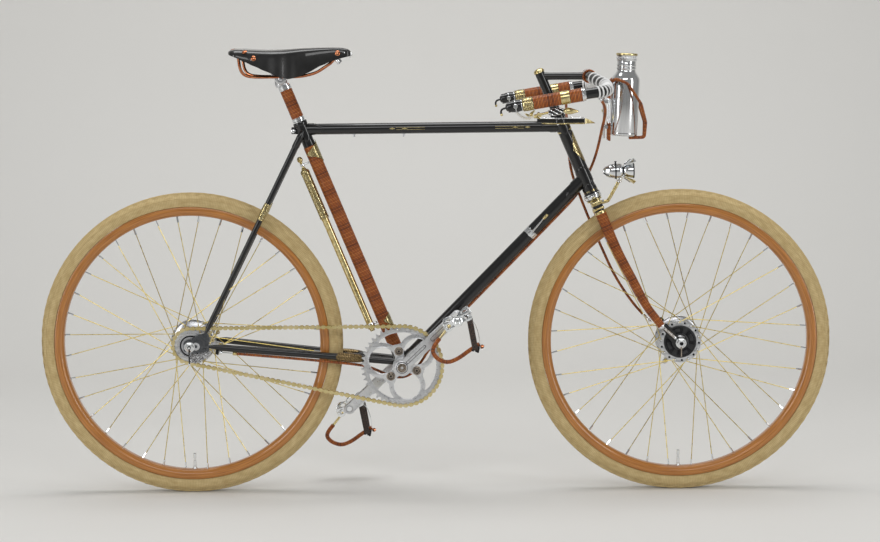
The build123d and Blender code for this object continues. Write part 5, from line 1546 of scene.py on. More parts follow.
# Wheel ends of the frame: grey plates slotted for the axle, with their fittings
rearEnd = {
    "inside": 60.0, "thick": 5.0, "slot": 5.3,
    "upper": ((-14, 10), (-2, 14), (10, 22), (24, 29), (38, 33), (44, 30), (46, 20), (44, 4), (46, -8)),
    "lower": ((34, -12), (20, -14), (4, -13), (-14, -10)),
}
build = newBuild()
for side in (-1, 1):
    middle = side * (rearEnd["inside"] + rearEnd["thick"] / 2)
    half = rearEnd["slot"]
    slot = [(-14, -half)] + circle(half, count=11, start=-90, end=90) + [(-14, half)]
    outline = list(rearEnd["upper"]) + list(rearEnd["lower"]) + slot
    plate(build, [outline, circle(2.2, (37, -4), 16)], rearEnd["thick"], flatOn(rearAxle, middle), bevel=0.9)
    out = alongY * side
    face = rearAxle + out * (rearEnd["inside"] + rearEnd["thick"])
    # bright eye ahead of the axle, wheel adjuster below it and two brass eyelets above the stay
    turn(build, [(3.6, -0.4), (9, -0.4), (9, 0.8), (8.2, 1.5), (4.2, 1.5), (3.6, 0.9)], face + Vector((14.5, 0, 1)),
         out, sides=36, hollow=True, finish=4)
    rod = [rearAxle + out * 75.5 + alongZ * z for z in (-2, -20, -37)]
    tube(build, rod, 1.5, sides=10, finish=3)
    turn(build, [(0, 0), (2.6, 0.6), (3.0, 2.6), (2.2, 4.8), (0, 5.4)], rod[-1] + alongZ, -alongZ,
         sides=14, finish=1)
    turn(build, [(0, -2.4), (3.0, -2.4), (3.0, 1.8), (0, 2.4)], rearAxle + out * 75.5, out, sides=16, finish=1)
    guard = [(0, -20), (12, -17), (26, -15), (42, -9), (47, -12), (45, -19), (37, -27), (26, -34), (12, -38),
             (0, -38), (-4, -30)]
    plate(build, [guard, circle(3, (30, -23), 18), circle(2, (10, -29), 14)], 2.6, flatOn(rearAxle, side * 58.4),
          bevel=0.8, finish=5)
    for x, z, reach in ((37, -17, 3.0), (18, -24, 2.4), (3, -32, 2.4)):
        turn(build, [(0, 0), (reach, 0), (reach * 0.8, 1.1), (0, 1.5)], rearAxle + out * 59.6 + Vector((x, 0, z)),
             out, sides=16, finish=1)
    for x, z, reach in ((44, 27, 4.2), (53, 16, 4.6), (50, 34, 2.8)):
        turn(build, [(reach * 0.45, -2.4), (reach, -2.4), (reach + 0.5, 0), (reach, 2.4), (reach * 0.45, 2.4)],
             rearAxle + out * 61 + Vector((x, 0, z)), out, sides=20, hollow=True, finish=2)
    turn(build, [(0, 0), (2.0, 0), (2.0, 18), (3.2, 19), (3.4, 23), (2.0, 25), (0, 25)],
         rearAxle + out * 61 + Vector((46, 0, 6)), Vector((0.5, 0, 0.9)), sides=14, finish=2)
addPiece("rearWheelPlates", build, [greySteel, chromePlate, agedBrass, darkSteelAndBoreShade, buffedAluminium, tooledSilver],
         "frame", "chrome", "rear_dropouts", smooth=30)
print("wheel plates made")


# Fork: lacquered blades wrapped in lace, threaded tips and a lacquered crown
fork = {
    "blade": ((0, 39.5, 369.3), (0, 42.5, 260.4), (6.5, 47, 177), (12.2, 52, 108.2), (25.6, 55, 53.4)),
    "radius": (12.0, 7.5), "wrapped": (0.06, 1.0), "leather": 0.6, "crown": (26.0, 103.0, 20.0),
}
paint(blackLacquer, "fork_blades")
crownCentre = forkPoint(0, 0, layout["crownUp"])
build, tips = newBuild(laced=True), newBuild()
for side in (-1, 1):
    blade = evenly(flipped(through([forkPoint(*spot) for spot in fork["blade"]]), side), 2.0)
    length = 2.0 * (len(blade) - 1)
    first, last = (round(share * (len(blade) - 1)) for share in fork["wrapped"])
    wide, narrow = fork["radius"]
    taper = lambda run, low=2.0 * first, all=length: (wide + (narrow - wide) * (low + run) / all + fork["leather"])
    lace(build, blade[first:last + 1], taper, pitch=3.0, proud=0.9, sides=22)
    # rings at both ends of the lace, then the threaded tip that runs down to the axle nut
    top, way = blade[first], (blade[first] - blade[first - 1]).normalized()
    bandOn(tips, top - way * 6, way, 12.2, 7, wall=1.0, ease=0.8)
    end, way = blade[-1], (blade[-1] - blade[-2]).normalized()
    nut = Vector((frontAxle.x, side * 56.5, frontAxle.z))
    reach = (nut - end).normalized()
    turnAll(tips, end, reach,
            ([(0, -3), (8.4, -3), (9.2, -1.6), (9.2, 0.6), (8.4, 2), (5, 3.6), (0, 4)], 28, 1),
            ([(0, 3), (3.9, 3), (3.9, 5), (3.1, 6), (3.1, 38), (3.9, 39), (3.9, 42), (2.6, 44), (0, 44)], 24, 1))
    spots = [end + reach * 7, end + reach * 38]
    coil = grow(hoopTree, spots, inTurn(spots), warmSteel,
                {"Spacing": 2.2, "Radius": 3.2, "Wire": 0.75, "Sides": 18})
    addMade(f"forkTipThread{'Right' if side < 0 else 'Left'}", coil, "steering", "chrome")
addPiece("forkLacing", build, [laceLeather], "steering", "leather_tan", "fork_leather")
addPiece("forkTips", tips, [agedBrass, chromePlate], "steering", "brass")

build = newBuild()
crownPlace = placed(crownCentre, upHead, aheadOfHead)
deep, wide, tall = fork["crown"]
for lift, high, grown, finish in ((5.6, 8.8, -1, 1), (-1.6, 6.6, -2, 0), (-7.4, 5.2, 0, 1)):
    layer = crownPlace @ shift((0, 0, lift))
    block(build, (deep + grown, wide + grown, high), layer, 2.2, finish=finish, steps=3)
for i in range(9):  # fluting along the brass layer's ends
    for side in (-1, 1):
        flute = crownPlace @ shift((-9.6 + 2.4 * i, side * (wide / 2 - 0.6), 5.6))
        block(build, (1.3, 0.9, 5.6), flute, 0.3, finish=1, steps=1)
turnAll(build, crownCentre, upHead,
        ([(13.2, 9), (17.5, 9), (17.5, 11), (16.6, 12), (16.6, 13.6), (17.5, 14.4), (17.5, 20), (16.4, 21.5),
          (13.2, 21.5)], 48, 1, True),
        ([(13.2, 13), (17.0, 13), (17.0, 14.6), (13.2, 14.6)], 48, 2, True))
addPiece("forkCrown", build, [blackLacquer, agedBrass, darkSteelAndBoreShade], "steering", "black_lacquer", "fork_crown")

# headset: a faceted cup below the head tube, a knurled nut above the head plate
build = newBuild()
facets = [(17.4, 0), (19.6, 0), (20.4, 1.4), (20.4, 6.5), (19.2, 7.6), (19.2, 8.6), (20.0, 9.4),
          (19.8, 11.6), (17.4, 12)]
turn(build, facets, headPoint(697) - upHead * 13, upHead, sides=14, hollow=True)
bandOn(build, headPoint(700), upHead, 16.1, 5, wall=1.1, finish=1)
bandOn(build, headPoint(840), upHead, 16.1, 4, wall=1.0, finish=1)
addPiece("headsetCup", build, [chromePlate, agedBrass], "frame", "chrome")
build = newBuild()
nutFoot = headPoint(869.2)
turn(build, [(11.4, 0), (15.2, 0), (16, 1), (16, 5.5), (15, 6.4), (15, 7.6), (16, 8.4), (16, 14), (14.6, 16.2),
             (11.4, 16.6)], nutFoot, upHead, sides=48, hollow=True)
for i in range(36):  # knurl
    ridge = placed(nutFoot + upHead * 11.2, upHead, aheadOfHead) @ spin(2 * pi * i / 36, "Z")
    block(build, (1.0, 1.5, 5.2), ridge @ shift((15.9, 0, 0)), 0.3, steps=1)
addPiece("headsetNut", build, [blackLacquer], "steering", "chrome", "headset_nut")

# head plate: a black spear with polished edges on a brass strip, and a brass point
spear = {"outline": ((-52, 6), (-20, 17), (58, 17), (60, 15), (60, -15), (58, -17), (-20, -17), (-52, -6)),
         "top": 872.0, "hole": 18.2}
build = newBuild()
spearX = headPoint(spear["top"]).x


def spearLayer(low, high, grown, finish, bevel=0.5):
    middle = (low + high) / 2
    outline = [(x + (grown if x > 0 else -grown), y * (17 + grown) / 17) for x, y in spear["outline"]]
    hole = circle(spear["hole"], (headPoint(middle).x - spearX, 0), 40)
    plate(build, [outline, hole], high - low, shift((spearX, 0, middle)), bevel=bevel, finish=finish)


spearLayer(857.2, 860.0, -0.6, 2, 0.6)
spearLayer(860.0, 869.6, -1.6, 0, 1.2)
spearLayer(869.4, 872.0, 0.0, 1, 0.9)
spearLayer(871.2, 872.4, -1.8, 0, 0.2)
corners = [[Vector((spearX + x, y, z)) for y, z in ((wide, 858), (wide, high), (-wide, high), (-wide, 858))]
           for x, wide, high in ((60, 15, 871), (72, 8, 866), (84, 0.8, 859))]
skin(build, corners, 2)
for x, y in ((-34, 0), (30, 11), (30, -11), (48, 0)):
    turn(build, [(0, 0), (2.4, 0), (2.2, 1.0), (0, 1.4)], (spearX + x, y, 872.2), alongZ, sides=14, finish=1)
addPiece("headSpear", build, [blackLacquer, chromePlate, agedBrass], "frame", "black_lacquer",
         "head_plate", smooth=25)

# Stem: raked quill with a domed brass cap, straight extension and bar clamp
stem = {"quillTop": 978.0, "quill": 11.1, "arm": 8.5, "height": 967.0}
build = newBuild()
quillFoot, quillTop = headPoint(872), headPoint(stem["quillTop"])
tall = (quillTop - quillFoot).length
turn(build, [(0, 0), (stem["quill"], 0), (stem["quill"], tall), (0, tall)], quillFoot, upHead, sides=40)
arm = straight(headPoint(stem["height"]), barCentre, 12)
tube(build, arm, lambda run, angle: stem["arm"] * (1 + 0.1 * max(0, 1 - run / 18) + 0.1 * max(0, (run - 86) / 18)),
     sides=32)
clampProfile = evenSides((12.0, 17), (14.9, 17), (15.9, 15.6))
turn(build, clampProfile, barCentre, alongY, sides=44, hollow=True)
for side in (-1, 1):
    turn(build, [(12.0, 16.4), (14.6, 16.4), (14.6, 17.4), (13.8, 18.2), (12.0, 18.2)], barCentre, alongY * side,
         sides=44, hollow=True)
    block(build, (13, 5, 11), shift(barCentre + Vector((13.5, side * 4.2, -10))) @ spin(radians(38), "Y"), 1.3)
turn(build, evenSides((0, 9.5), (3.0, 9.5), (4.4, 8.6), (4.4, 6.6), (2.8, 6.4)),
     barCentre + Vector((16.5, 0, -12.6)), alongY, sides=16, finish=1)
bandOn(build, headPoint(886.5), upHead, 11.1, 4, wall=1.4, finish=2, ease=0.8)
turn(build, [(11.0, -3), (12.2, -3), (12.6, -2), (12.2, -0.6), (12.4, 0.2), (11.9, 2.2), (10, 4.4), (6.8, 6),
             (3, 6.8), (0, 7)], quillTop, upHead, sides=40, finish=2)
addPiece("stemAndClamp", build, [blackLacquer, chromePlate, agedBrass], "steering", "black_lacquer", "stem")

# Handlebar: black bar, ring winding round both front bends, lace-wrapped grips with brass sleeves
bar = {
    "radius": 11.9, "half": ((925, 30, 967), (956, 118, 950), (952, 222, 941), (900, 230, 934), (731, 230, 906)),
    "bends": (60, 42, 45, 60), "windings": ((0.06, 0.38, 20.0, 2.3), (0.39, 0.52, 7.4, 2.0)), "ringRadius": 12.2,
    "leather": ((57, 117), (139, 166)), "sleeve": (117, 139), "ferrule": (33, 56), "lens": (3, 33),
}
half = bar["half"]
sizes = (*reversed(bar["bends"]), *bar["bends"])
barPath = bent(flipped(reversed(half), -1) + [Vector(spot) for spot in half], sizes, pieces=12)
build = newBuild()
tube(build, barPath, bar["radius"], sides=36)
addPiece("handlebarTube", build, [blackLacquer], "steering", "black_lacquer", "handlebar")
halfPath = evenly(bent(half, bar["bends"], pieces=12), 2.0)
windings = []
for side in (-1, 1):
    for low, high, spacing, wire in bar["windings"]:
        spots = flipped(halfPath[int(low * len(halfPath)):int(high * len(halfPath))], side)
        windings.append(grow(hoopTree, spots, inTurn(spots), chromePlate,
                             {"Spacing": spacing, "Radius": bar["ringRadius"], "Wire": wire, "Sides": 28}))
addMade("barWinding", joined(windings), "steering", "chrome")
build = newBuild(laced=True)
for side in (-1, 1):  # leather ring round the bar on each side of the clamp
    around = [barCentre + Vector((13.6 * cos(a), side * 23, 13.6 * sin(a)))
              for a in [2 * pi * i / 48 for i in range(49)]]
    lace(build, around, 1.9, pitch=3.0, proud=0.6, sides=12)
addPiece("clampRings", build, [laceLeather], "steering", "leather_tan")
barEnd, gripFoot = Vector(half[-1]), Vector(half[-2])
gripWay = (gripFoot - barEnd).normalized()
wraps, brass, levers = newBuild(laced=True), newBuild(), newBuild()
coils = []
for side in (-1, 1):
    end, way = flipped([barEnd], side)[0], flipped([gripWay], side)[0]
    for low, high in bar["leather"]:
        lace(wraps, straight(end + way * low, end + way * high), 14.2, pitch=3.2, proud=0.75, sides=30)
    low, high = bar["sleeve"]
    bandOn(brass, end + way * low, way, 13.0, high - low, wall=1.2, ease=0.6, sides=36)
    for spot in (low + 0.5, high - 4.5):
        bandOn(brass, end + way * spot, way, 14.0, 4, wall=1.2, ease=0.9, sides=36)
    for angle in (80, 100, -80, -100):  # raised flats of the sleeve
        out = spin(radians(angle), "X")
        flatOf = placed(end + way * (low + high) / 2, way, alongY) @ spin(radians(angle), "Z")
        block(brass, (1.4, 6, high - low - 9), flatOf @ shift((14.2, 0, 0)), 0.5, steps=1)
    turn(brass, [(12.2, 166), (15.4, 166), (15.8, 167.5), (15.0, 169), (14.2, 170), (14.8, 172), (13.2, 174.5),
                 (12.2, 174.5)], end, way, sides=36, hollow=True, finish=2)
    low, high = bar["ferrule"]
    turn(brass, [(12.2, low), (14.2, low), (15.2, low + 1.5), (14.4, low + 3), (15.0, low + 6), (15.4, low + 12),
                 (15.0, high - 5), (14.6, high - 3), (15.6, high - 1.5), (15.0, high), (12.2, high)], end, way,
         sides=36, hollow=True, finish=1)
    # bar end: black lens-shaped body between bright rims, with the lever's pivot through it
    low, high = bar["lens"]
    lens = [(0, low - 8), (5, low - 7.6), (8.4, low - 5), (8.8, low - 2), (10.4, low), (12.6, low + 6),
            (13.6, low + 14), (13.2, low + 22), (12.0, high), (0, high)]
    turn(levers, lens, end, way, sides=36)
    for spot, reach in ((low - 2.2, 9.2), (low + 14, 13.9), (high - 2, 12.6)):
        ring = placed(end + way * spot, way)
        tube(levers, ringOn(ring, reach, 40), 0.95, sides=8, closed=True, finish=1)
    pivot = end + way * 17
    turn(levers, evenSides((0, 15.4), (4.2, 15.4), (5, 14.6)), pivot, alongY, sides=18, finish=1)
    hook = smoothed([end + Vector((x, 0, z)) for x, z in ((2, 0), (-6, -1), (-13, -4), (-15.5, -10), (-13.5, -16))])
    tube(levers, hook, 2.3, sides=12)
    turn(levers, [(0, -3.2), (2.2, -2.4), (3.1, 0), (2.2, 2.4), (0, 3.2)], hook[-1], alongZ, sides=14, finish=2)
    # lever blade: spiral neck, leaf knot, brass rod, twisted barrel and teardrop
    neck = smoothed([end + Vector((x, 0, z)) for x, z in ((20, -11), (27, -18), (38, -25), (50, -24), (58, -19))])
    tube(levers, neck, 2.0, sides=10, finish=2)
    coils.append(grow(hoopTree, neck, inTurn(neck), agedBrass,
                      {"Spacing": 2.6, "Radius": 2.9, "Wire": 0.95, "Sides": 14}))
    rod = smoothed([end + Vector((x, 0, z))
                    for x, z in ((50, -21), (64, -17), (80, -14), (96, -10), (124, -8), (134, -9))])
    tube(levers, rod, 2.8, sides=14, finish=2)
    for x, z, reach in ((52, -15, 4.0), (60, -20, 4.6), (68, -14, 3.6), (47, -24, 3.2), (72, -19, 2.8)):
        turn(levers, [(reach * sin(a), -reach * cos(a)) for a in [pi * i / 8 for i in range(9)]],
             end + Vector((x, 0, z)), alongZ, sides=16, finish=2)
    for x, z, angle in ((55, -11, 40), (66, -22, -30), (44, -17, 150)):  # small brass leaves
        leaf = shift(end + Vector((x, 0, z))) @ spin(radians(-angle), "Y")
        plate(levers, [[(-6, 0), (-2, 2.8), (3, 2.2), (8, 0), (3, -2.2), (-2, -2.8)]], 2.4,
              leaf @ spin(pi / 2, "X"), bevel=0.8, finish=2)
    foot, far = end + Vector((90, 0, -12.5)), end + Vector((123, 0, -7))
    along = (far - foot).normalized()
    rings = []
    for i in range(23):
        t = i / 22
        swell = 7.6 * sin(pi * (0.12 + 0.76 * t)) ** 0.55
        place = placed(foot + (far - foot) * t, along, alongY)
        rings.append(ringOn(place, swell, 28))
    skin(levers, rings, 0)
    for strand in range(4):  # bright strands wound over the black barrel
        spots = []
        for i in range(31):
            t = i / 30
            swell, a = 7.4 * sin(pi * (0.1 + 0.8 * t)) ** 0.55, pi / 2 * strand + 4.2 * t
            spots.append(placed(foot + (far - foot) * t, along, alongY)
                         @ Vector((swell * cos(a), swell * sin(a), 0)))
        tube(levers, spots, 1.5, sides=10, finish=1)
    tear = [(0, -2), (4.0, -1), (6.6, 3), (7.6, 9), (7.0, 15), (5.2, 21), (3.4, 26), (2.2, 30), (0, 32)]
    turn(levers, tear, end + Vector((125, 0, -8)), Vector((1, 0, -0.05)), sides=24, finish=2)
addPiece("gripLacing", wraps, [laceLeather], "steering", "leather_tan", "grips")
addPiece("gripSleeves", brass, [agedBrass, engravedBrass, chromePlate], "steering", "brass")
addPiece("brakeLevers", levers, [blackLacquer, chromePlate, agedBrass], "steering", "chrome",
         "brake_levers", smooth=45)
addMade("leverCoils", joined(coils), "steering", "brass")
print("handlebar made")

# Bottle on its strap, held by two lace-wrapped rods
bottle = {
    "foot": barCentre + Vector((79.5, 0, -138)), "axis": Vector((0.045, 0, 1)),
    "strap": barCentre + Vector((34.5, 0, -80)), "strapSize": (5, 14, 128),
    "cage": ((46, 19, -149), (46, 19, -17), (60, 34, -5), (87, 41, -17), (118, 38, -64), (130, 22, -107),
             (128, 10, -142), (91, 8, -142.8)),
    "cageBends": (7, 14, 20, 24, 20, 7), "bare": (862, 912),
}
build = newBuild()
body = [(0, 1.6), (22, 1.6), (24.5, 0.2), (28.5, 0), (31.2, 1.6), (32.3, 4.6), (32.3, 6.5), (32.0, 7.2), (32.3, 8),
        (32.3, 127), (31.9, 131), (30.4, 135.4), (27.6, 139.8), (24.4, 144), (22.4, 147.4), (21.5, 150.6),
        (21.5, 153.4), (22.4, 154.2), (22.7, 155.4), (22.4, 156.6), (21.5, 157.4), (21.5, 160.4), (22.4, 161.2),
        (22.7, 162.4), (22.4, 163.6), (21.5, 164.4), (21.5, 171.8), (0, 171.8)]
turn(build, body, bottle["foot"], bottle["axis"], sides=72)
addPiece("steelBottle", build, [stainlessSteel], "steering", "chrome", "bottle", smooth=50)
build = newBuild()
turnAll(build, bottle["foot"], bottle["axis"],
        ([(0, 172.2), (22.4, 172.2), (22.8, 173), (22.8, 183), (24.2, 184.2), (24.4, 185)], 64),
        ([(0, 184.9), (24.2, 184.9), (24.8, 185.6), (24.8, 188.6), (24.0, 189.6), (20, 190), (19, 189.4),
          (0, 189.2)], 64, 1))
for i in range(40):
    ridge = placed(bottle["foot"] + bottle["axis"] * 178, bottle["axis"]) @ spin(2 * pi * i / 40, "Z")
    block(build, (0.9, 1.6, 8), ridge @ shift((22.8, 0, 0)), 0.3, steps=1)
addPiece("bottleLid", build, [stainlessSteel, agedBrass], "steering", "brass", "bottle_cap", smooth=50)
build = newBuild()
strapPlace = shift(bottle["strap"])
block(build, bottle["strapSize"], strapPlace, 1.6)
tube(build, straight(barCentre + Vector((12, 0, -10)), barCentre + Vector((34, 0, -21))), 5.0, sides=20)
for drop in (59, 117):
    spot = barCentre + Vector((39.7, 0, -drop))
    turn(build, evenSides((0, 18), (3, 18)), spot, alongY, sides=18)
    for side in (-1, 1):
        turn(build, [(0, 0), (4.4, 0), (4.4, 3), (0, 3)], spot + alongY * side * 14, alongY * side, sides=6)
for z in (-52, 0, 52):
    turn(build, [(0, 0), (3.4, 0), (3.4, 1), (2.4, 1.8), (0, 2)], bottle["strap"] + Vector((-2.5, 0, z)), -alongX,
         sides=16, finish=1)
addPiece("bottleStrapBar", build, [chromePlate, agedBrass], "steering", "chrome", "bottle_strap")
core, wraps = newBuild(), newBuild(laced=True)
for side in (-1, 1):
    path = evenly(flipped(bent([barCentre + Vector(spot) for spot in bottle["cage"]], bottle["cageBends"]), side),
                  1.0)
    tube(core, evenly(path, 3), 2.7, sides=14)
    low, high = bottle["bare"]
    rise = [i for i, spot in enumerate(path) if spot.z < low and i < 60][-1]
    over = [i for i, spot in enumerate(path) if spot.z > high][0]
    lace(wraps, path[1:rise], 2.75, pitch=3.4, proud=0.7, sides=14)
    lace(wraps, path[over:-1], 2.75, pitch=3.4, proud=0.7, sides=14)
    for spot in (path[rise], path[over]):
        bandOn(core, spot - alongZ * 2, alongZ, 2.7, 4, wall=1.2, sides=20)
tube(core, straight(*(barCentre + Vector((93, y, -142.8)) for y in (-9, 9))), 3.0, sides=14)
addPiece("cageRods", core, [chromePlate], "steering", "chrome")
addPiece("cageLacing", wraps, [laceLeather], "steering", "leather_tan", "bottle_cage")
print("bottle made")

# Headlamp: bullet shell, dark joint ring, fluted glass in a flared bowl, two shutters and a flat bracket
lamp = {"centre": crownCentre + Vector((57.5, 0, 76.5)), "axis": Vector((1, 0, 0.02)), "shutterTilt": 36.0}
build = newBuild()
shell = [(0, -42), (5.4, -41.8), (7.0, -41), (7.8, -39.6), (10.4, -37), (12.6, -33.4), (14, -30), (14.6, -29.4),
         (15.8, -25), (17, -20), (17.7, -16), (17.7, -14)]
turnAll(build, lamp["centre"], lamp["axis"],
        (shell, 56),
        ([(14, -14.6), (18.2, -14.6), (18.7, -14), (18.7, -12), (18.2, -11.4), (14, -11.4)], 56, 1, True),
        ([(14, -11.6), (18, -11.6), (18.2, -5), (17.4, -1), (15, 2), (11.4, 3.8), (9.4, 4.2), (0, 4.2)], 56),
        ([(0, 4), (9, 4), (9, 7), (0, 7)], 40, 1))
bowl = [(8.6, 6.2), (10.6, 6.6), (13, 10), (14.8, 15), (16, 21), (16.6, 27), (16.6, 28), (15.2, 28), (14.2, 20),
        (12, 12), (8.6, 8)]
turnAll(build, lamp["centre"], lamp["axis"],
        (bowl, 56, 0, True),
        ([(15, 27.4), (17.1, 27.4), (17.5, 28.2), (17.1, 30.2), (15, 30.2)], 56, 1, True),
        ([(0, 25.4), (8, 25), (15.1, 23.8), (15.1, 24.8), (8, 27.4), (0, 28.2)], 48, 2))
for side in (-1, 1):
    hinge = lamp["centre"] + Vector((6, 0, side * 12.2))
    flap = shift(hinge) @ spin(-side * radians(lamp["shutterTilt"]), "Y")
    rows = []
    # shutter dished across its width
    for x, half in ((0, 10), (3, 12), (10, 13.6), (18, 15), (26, 16), (28.4, 15.4), (29, 13)):
        across = [(x, half * (k / 8 - 1), side * (1.4 - 7.5 * x / 29 * (k / 8 - 1) ** 2)) for k in range(17)]
        under = [(ahead, y, z - side * 1.6) for ahead, y, z in reversed(across)]
        rows.append([flap @ Vector(spot) for spot in across + under])
    skin(build, rows, 0 if side > 0 else 3)
    turn(build, evenSides((0, 12.5), (1.8, 12.5)), hinge, alongY, sides=12)
    block(build, (19, 1.6, 2.2), flap @ shift((12, 0, side * 2.8)), 0.5, steps=1)
# switch stud on top, swivel under the shell and the flat bracket down to the crown
turn(build, [(0, 17), (1.6, 17), (1.6, 20), (2.8, 20.6), (2.8, 22.4), (0, 23)], lamp["centre"] - alongX * 13,
     alongZ, sides=14, finish=1)
turn(build, [(0, -27), (4, -27), (5.6, -25.4), (5.2, -23), (7.6, -19.4), (7.6, -14), (0, -14)],
     lamp["centre"] - alongX * 4, alongZ, sides=20)
strap = bent([crownCentre + Vector(spot) for spot in ((12, 0, 3.4), (27, 0, 7), (47.5, 0, 43), (52.6, 0, 54))],
             (8, 16))
tube(build, strap, 1.8, sides=20, flat=2.2, near=alongY, finish=3)
for side in (-1, 1):
    tube(build, [spot + alongY * 1.5 * side for spot in strap[1:-1]], 0.8, sides=8, finish=3)
turn(build, [(0, 0), (4.6, 0), (4.6, 2.6), (3.4, 3.8), (0, 4.2)], crownCentre + Vector((16, 0, 6.2)),
     Vector((-0.2, 0, 1)), sides=6)
addPiece("lampShell", build, [chromePlate, darkSteelAndBoreShade, lampGlass, agedBrass], "steering", "chrome",
         "headlamp", smooth=30)
print("headlamp made")

# Brake cables: lace over the cords' routes, each ending in a bright ferrule
cables = {
    "radius": 2.7, "proud": 0.7, "pitch": 3.6, "step": 0.9, "cut": 738, "frontBare": 403, "rearBare": (104, 345),
    "ferrule": ((0, -9), (3.2, -9), (3.8, -7), (3.4, -5), (4.0, -3), (4.0, 1), (2.4, 3), (0, 3)),
    "front": ((884, 205, 917), (884, 190, 890), (882, 150, 872), (880, 95, 856), (880, 48, 832), (880, 28, 796),
              (884, 24, 756), (892, 22, 726), (901, 20, 702), (914, 24, 668), (933, 36, 622), (958, 50, 566),
              (988, 60, 500), (1022, 66, 446), (1052, 68, 408), (1078, 66, 384)),
    "rear": ((938, -190, 922), (952, -150, 906), (956, -96, 880), (952, -44, 846), (947, -6, 806), (938, 20, 768),
             (924, 27, 736), (910, 21, 710), (896, 8, 690), (869, 0, 661), (594, 0, 382), (556, -3, 340),
             (532, -8, 301), (505, -14, 271), (468, -20, 270), (430, -25, 290), (385, -30, 306.5),
             (60, -58.5, 339)),
    "free": 880.0, "held": 760.0, "heldLow": 715.0, "freeLow": 640.0,
}


def atHeight(path, z):
    return min(range(len(path)), key=lambda i: abs(path[i].z - z))


def lacedCable(name, path, body, *replaced, blend=None):
    build = newBuild(laced=True)
    lace(build, path, cables["radius"], pitch=cables["pitch"], proud=cables["proud"], sides=12)
    addPiece(name, build, [laceLeather], body, "leather_tan", *replaced, blend=blend)


path = evenly(smoothed(cables["front"]), cables["step"])
cut, bare = atHeight(path, cables["cut"]), atHeight(path, cables["frontBare"])
spots = [path[atHeight(path, cables[z])] for z in ("free", "held", "heldLow", "freeLow")]
lacedCable("frontCableUpper", path[:cut + 1], "steering", "front_cable",
           blend=("steering", "frame", spots[0], spots[1]))
lacedCable("frontCableLower", path[cut:bare], "steering", blend=("frame", "steering", spots[2], spots[3]))
ends = newBuild()
turn(ends, cables["ferrule"], path[0], path[0] - path[6], sides=20)
tube(ends, evenly(path[bare - 4:], 4), 1.4, sides=10)
for back, long in ((0, 13), (17, 8)):
    spot = path[min(bare + back, len(path) - 4)]
    turn(ends, [(0, -1), (3.4, -1), (4.2, 0.4), (3.6, 2), (3.6, long - 3), (4.4, long - 2), (4.4, long), (0, long)],
         spot, path[min(bare + back + 6, len(path) - 1)] - spot, sides=20)
path = evenly(smoothed(cables["rear"]), cables["step"])
spots = [path[atHeight(path[:600], cables[z])] for z in ("free", "held")]
bareX, bareZ = cables["rearBare"]
bare = [i for i, spot in enumerate(path) if spot.z < bareZ and spot.x < bareX][0]
lacedCable("rearCableLacing", path[:bare], "frame", "rear_cable", blend=("steering", "frame", spots[0], spots[1]))
turn(ends, cables["ferrule"], path[0], path[0] - path[6], sides=20)
addPiece("cableFerrules", ends, [chromePlate], "steering", "chrome")
# bare end of the rear cable: brass ferrule, thin rod, bright knob and the dark adjuster
ends = newBuild()
foot, way = path[bare], (path[-1] - path[bare]).normalized()
turnAll(ends, foot, way,
        ([(0, -4), (3.8, -4), (4.2, -2.6), (4.2, 3), (3.2, 5), (0, 5)], 20, 1),
        ([(0, 4), (1.3, 4), (1.3, 32), (0, 32)], 10),
        ([(0, 29), (2.6, 29), (4.4, 31), (4.8, 34), (4.0, 36.6), (0, 37)], 20),
        ([(0, 37), (5.6, 37), (6.4, 38), (6.4, 40), (5.4, 41), (5.4, 44), (0, 45)], 24, 2))
addPiece("rearCableEnd", ends, [chromePlate, agedBrass, darkSteelAndBoreShade], "frame", "chrome")
print("cables made")

# Studio: pale floor and backdrop, soft lamps and the camera
studio = {
    "floorColour": "#dddcd9", "front": -7.0, "sweepStart": 1.6, "sweepBend": 1.2, "sweepHeight": 4.0, "width": 14.0,
    "skyColour": "#f2f2f0", "skyLight": 0.3, "seenSkyLight": 0.4,
    "cameraPlace": (0.37417, -5.13138, 0.09033), "cameraTilt": 83.2512, "cameraRoll": -0.41197, "lens": 90.82,
    "sensor": 36,
}
floorZ = -layout["seat"][2] / 1000
build = newBuild()
across = studio["width"] / 2
bend, foot = studio["sweepBend"], studio["sweepStart"]
arc = [(foot + bend * sin(a), bend * (1 - cos(a))) for a in [radians(9 * i) for i in range(1, 11)]]
depthPoints = [(studio["front"], 0.0), (foot, 0.0), *arc, (foot + bend, studio["sweepHeight"])]
rows = [[Vector((side * across, y, floorZ + z)) for side in (-1, 1)] for y, z in depthPoints]
skin(build, rows, 0, closedRound=False, capped=False)
sweep = bpy.data.meshes.new("studioSweep")
build.to_mesh(sweep)
build.free()
paintedFloor = newFinish("paintedFloor", (studio["floorColour"],) * 2, (0.6, 0.6), 900, bump=0.0)
tree = paintedFloor.node_tree
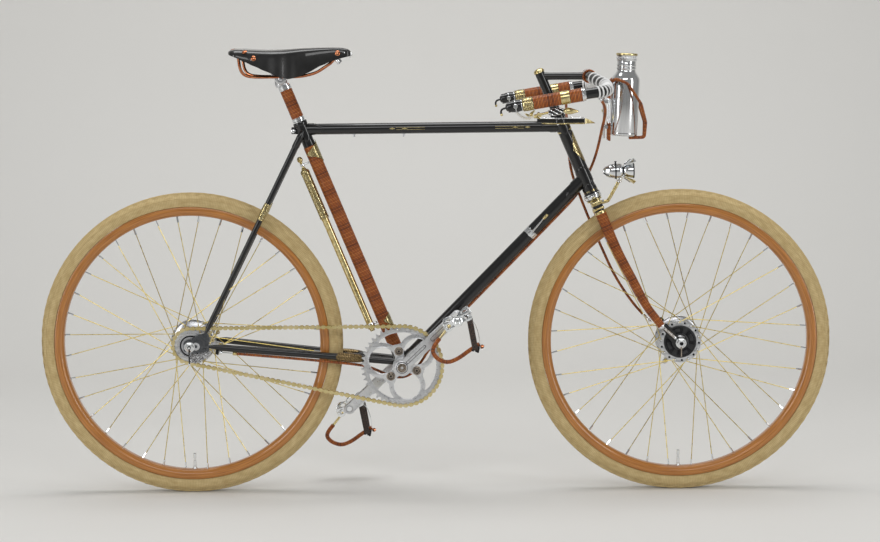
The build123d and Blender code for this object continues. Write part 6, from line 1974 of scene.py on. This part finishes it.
# the back of the sweep lets the view through
backSide = addNode(tree, "ShaderNodeNewGeometry").outputs["Backfacing"]
clear = outOf(tree, "ShaderNodeBsdfTransparent")
eitherSide = addNode(tree, "ShaderNodeMixShader",
                     {0: backSide, 1: tree.nodes["Principled BSDF"].outputs[0], 2: clear})
tree.links.new(eitherSide.outputs[0], tree.nodes["Material Output"].inputs["Surface"])
sweep.materials.append(paintedFloor)
floor = bpy.data.objects.new("studioSweep", sweep)
scene.collection.objects.link(floor)

world = bpy.data.worlds.new("softStudio")
world.use_nodes = True
sky = world.node_tree.nodes["Background"]
sky.inputs["Color"].default_value = colour(studio["skyColour"])
seen = addNode(world.node_tree, "ShaderNodeLightPath").outputs["Is Camera Ray"]
strength = mathOf(world.node_tree, "MULTIPLY_ADD", seen, studio["seenSkyLight"], studio["skyLight"])
world.node_tree.links.new(strength, sky.inputs["Strength"])
scene.world = world

lamps = {
    "topPanel": {"place": (0.3, 0.3, 2.9), "aim": (0.3, 0, -0.6), "size": (3.4, 1.6), "power": 78},
    "frontPanel": {"place": (0.2, -4.4, 2.3), "aim": (0.3, 0, -0.5), "size": (3.2, 1.2), "power": 40},
    "leftStrip": {"place": (-3.0, -2.4, 0.4), "aim": (0.3, 0, -0.4), "size": (0.7, 3.0), "power": 40},
    "rightStrip": {"place": (3.5, -2.2, 0.4), "aim": (0.4, 0, -0.4), "size": (0.7, 3.0), "power": 36},
}
for name, facts in lamps.items():
    panel = bpy.data.lights.new(name, "AREA")
    panel.shape = "RECTANGLE"
    panel.size, panel.size_y = facts["size"]
    panel.energy = facts["power"]
    light = bpy.data.objects.new(name, panel)
    light.location = facts["place"]
    aim = Vector(facts["aim"]) - Vector(facts["place"])
    light.rotation_euler = aim.to_track_quat("-Z", "Y").to_euler()
    light.visible_camera = False
    scene.collection.objects.link(light)

eye = bpy.data.cameras.new("camera")
eye.lens, eye.sensor_width = studio["lens"], studio["sensor"]
camera = bpy.data.objects.new("camera", eye)
camera.matrix_world = (shift(studio["cameraPlace"]) @ spin(radians(studio["cameraTilt"]), "X")
                       @ spin(radians(studio["cameraRoll"]), "Z"))
scene.collection.objects.link(camera)
scene.camera = camera
scene.view_settings.view_transform = "Standard"

print("scene ready")
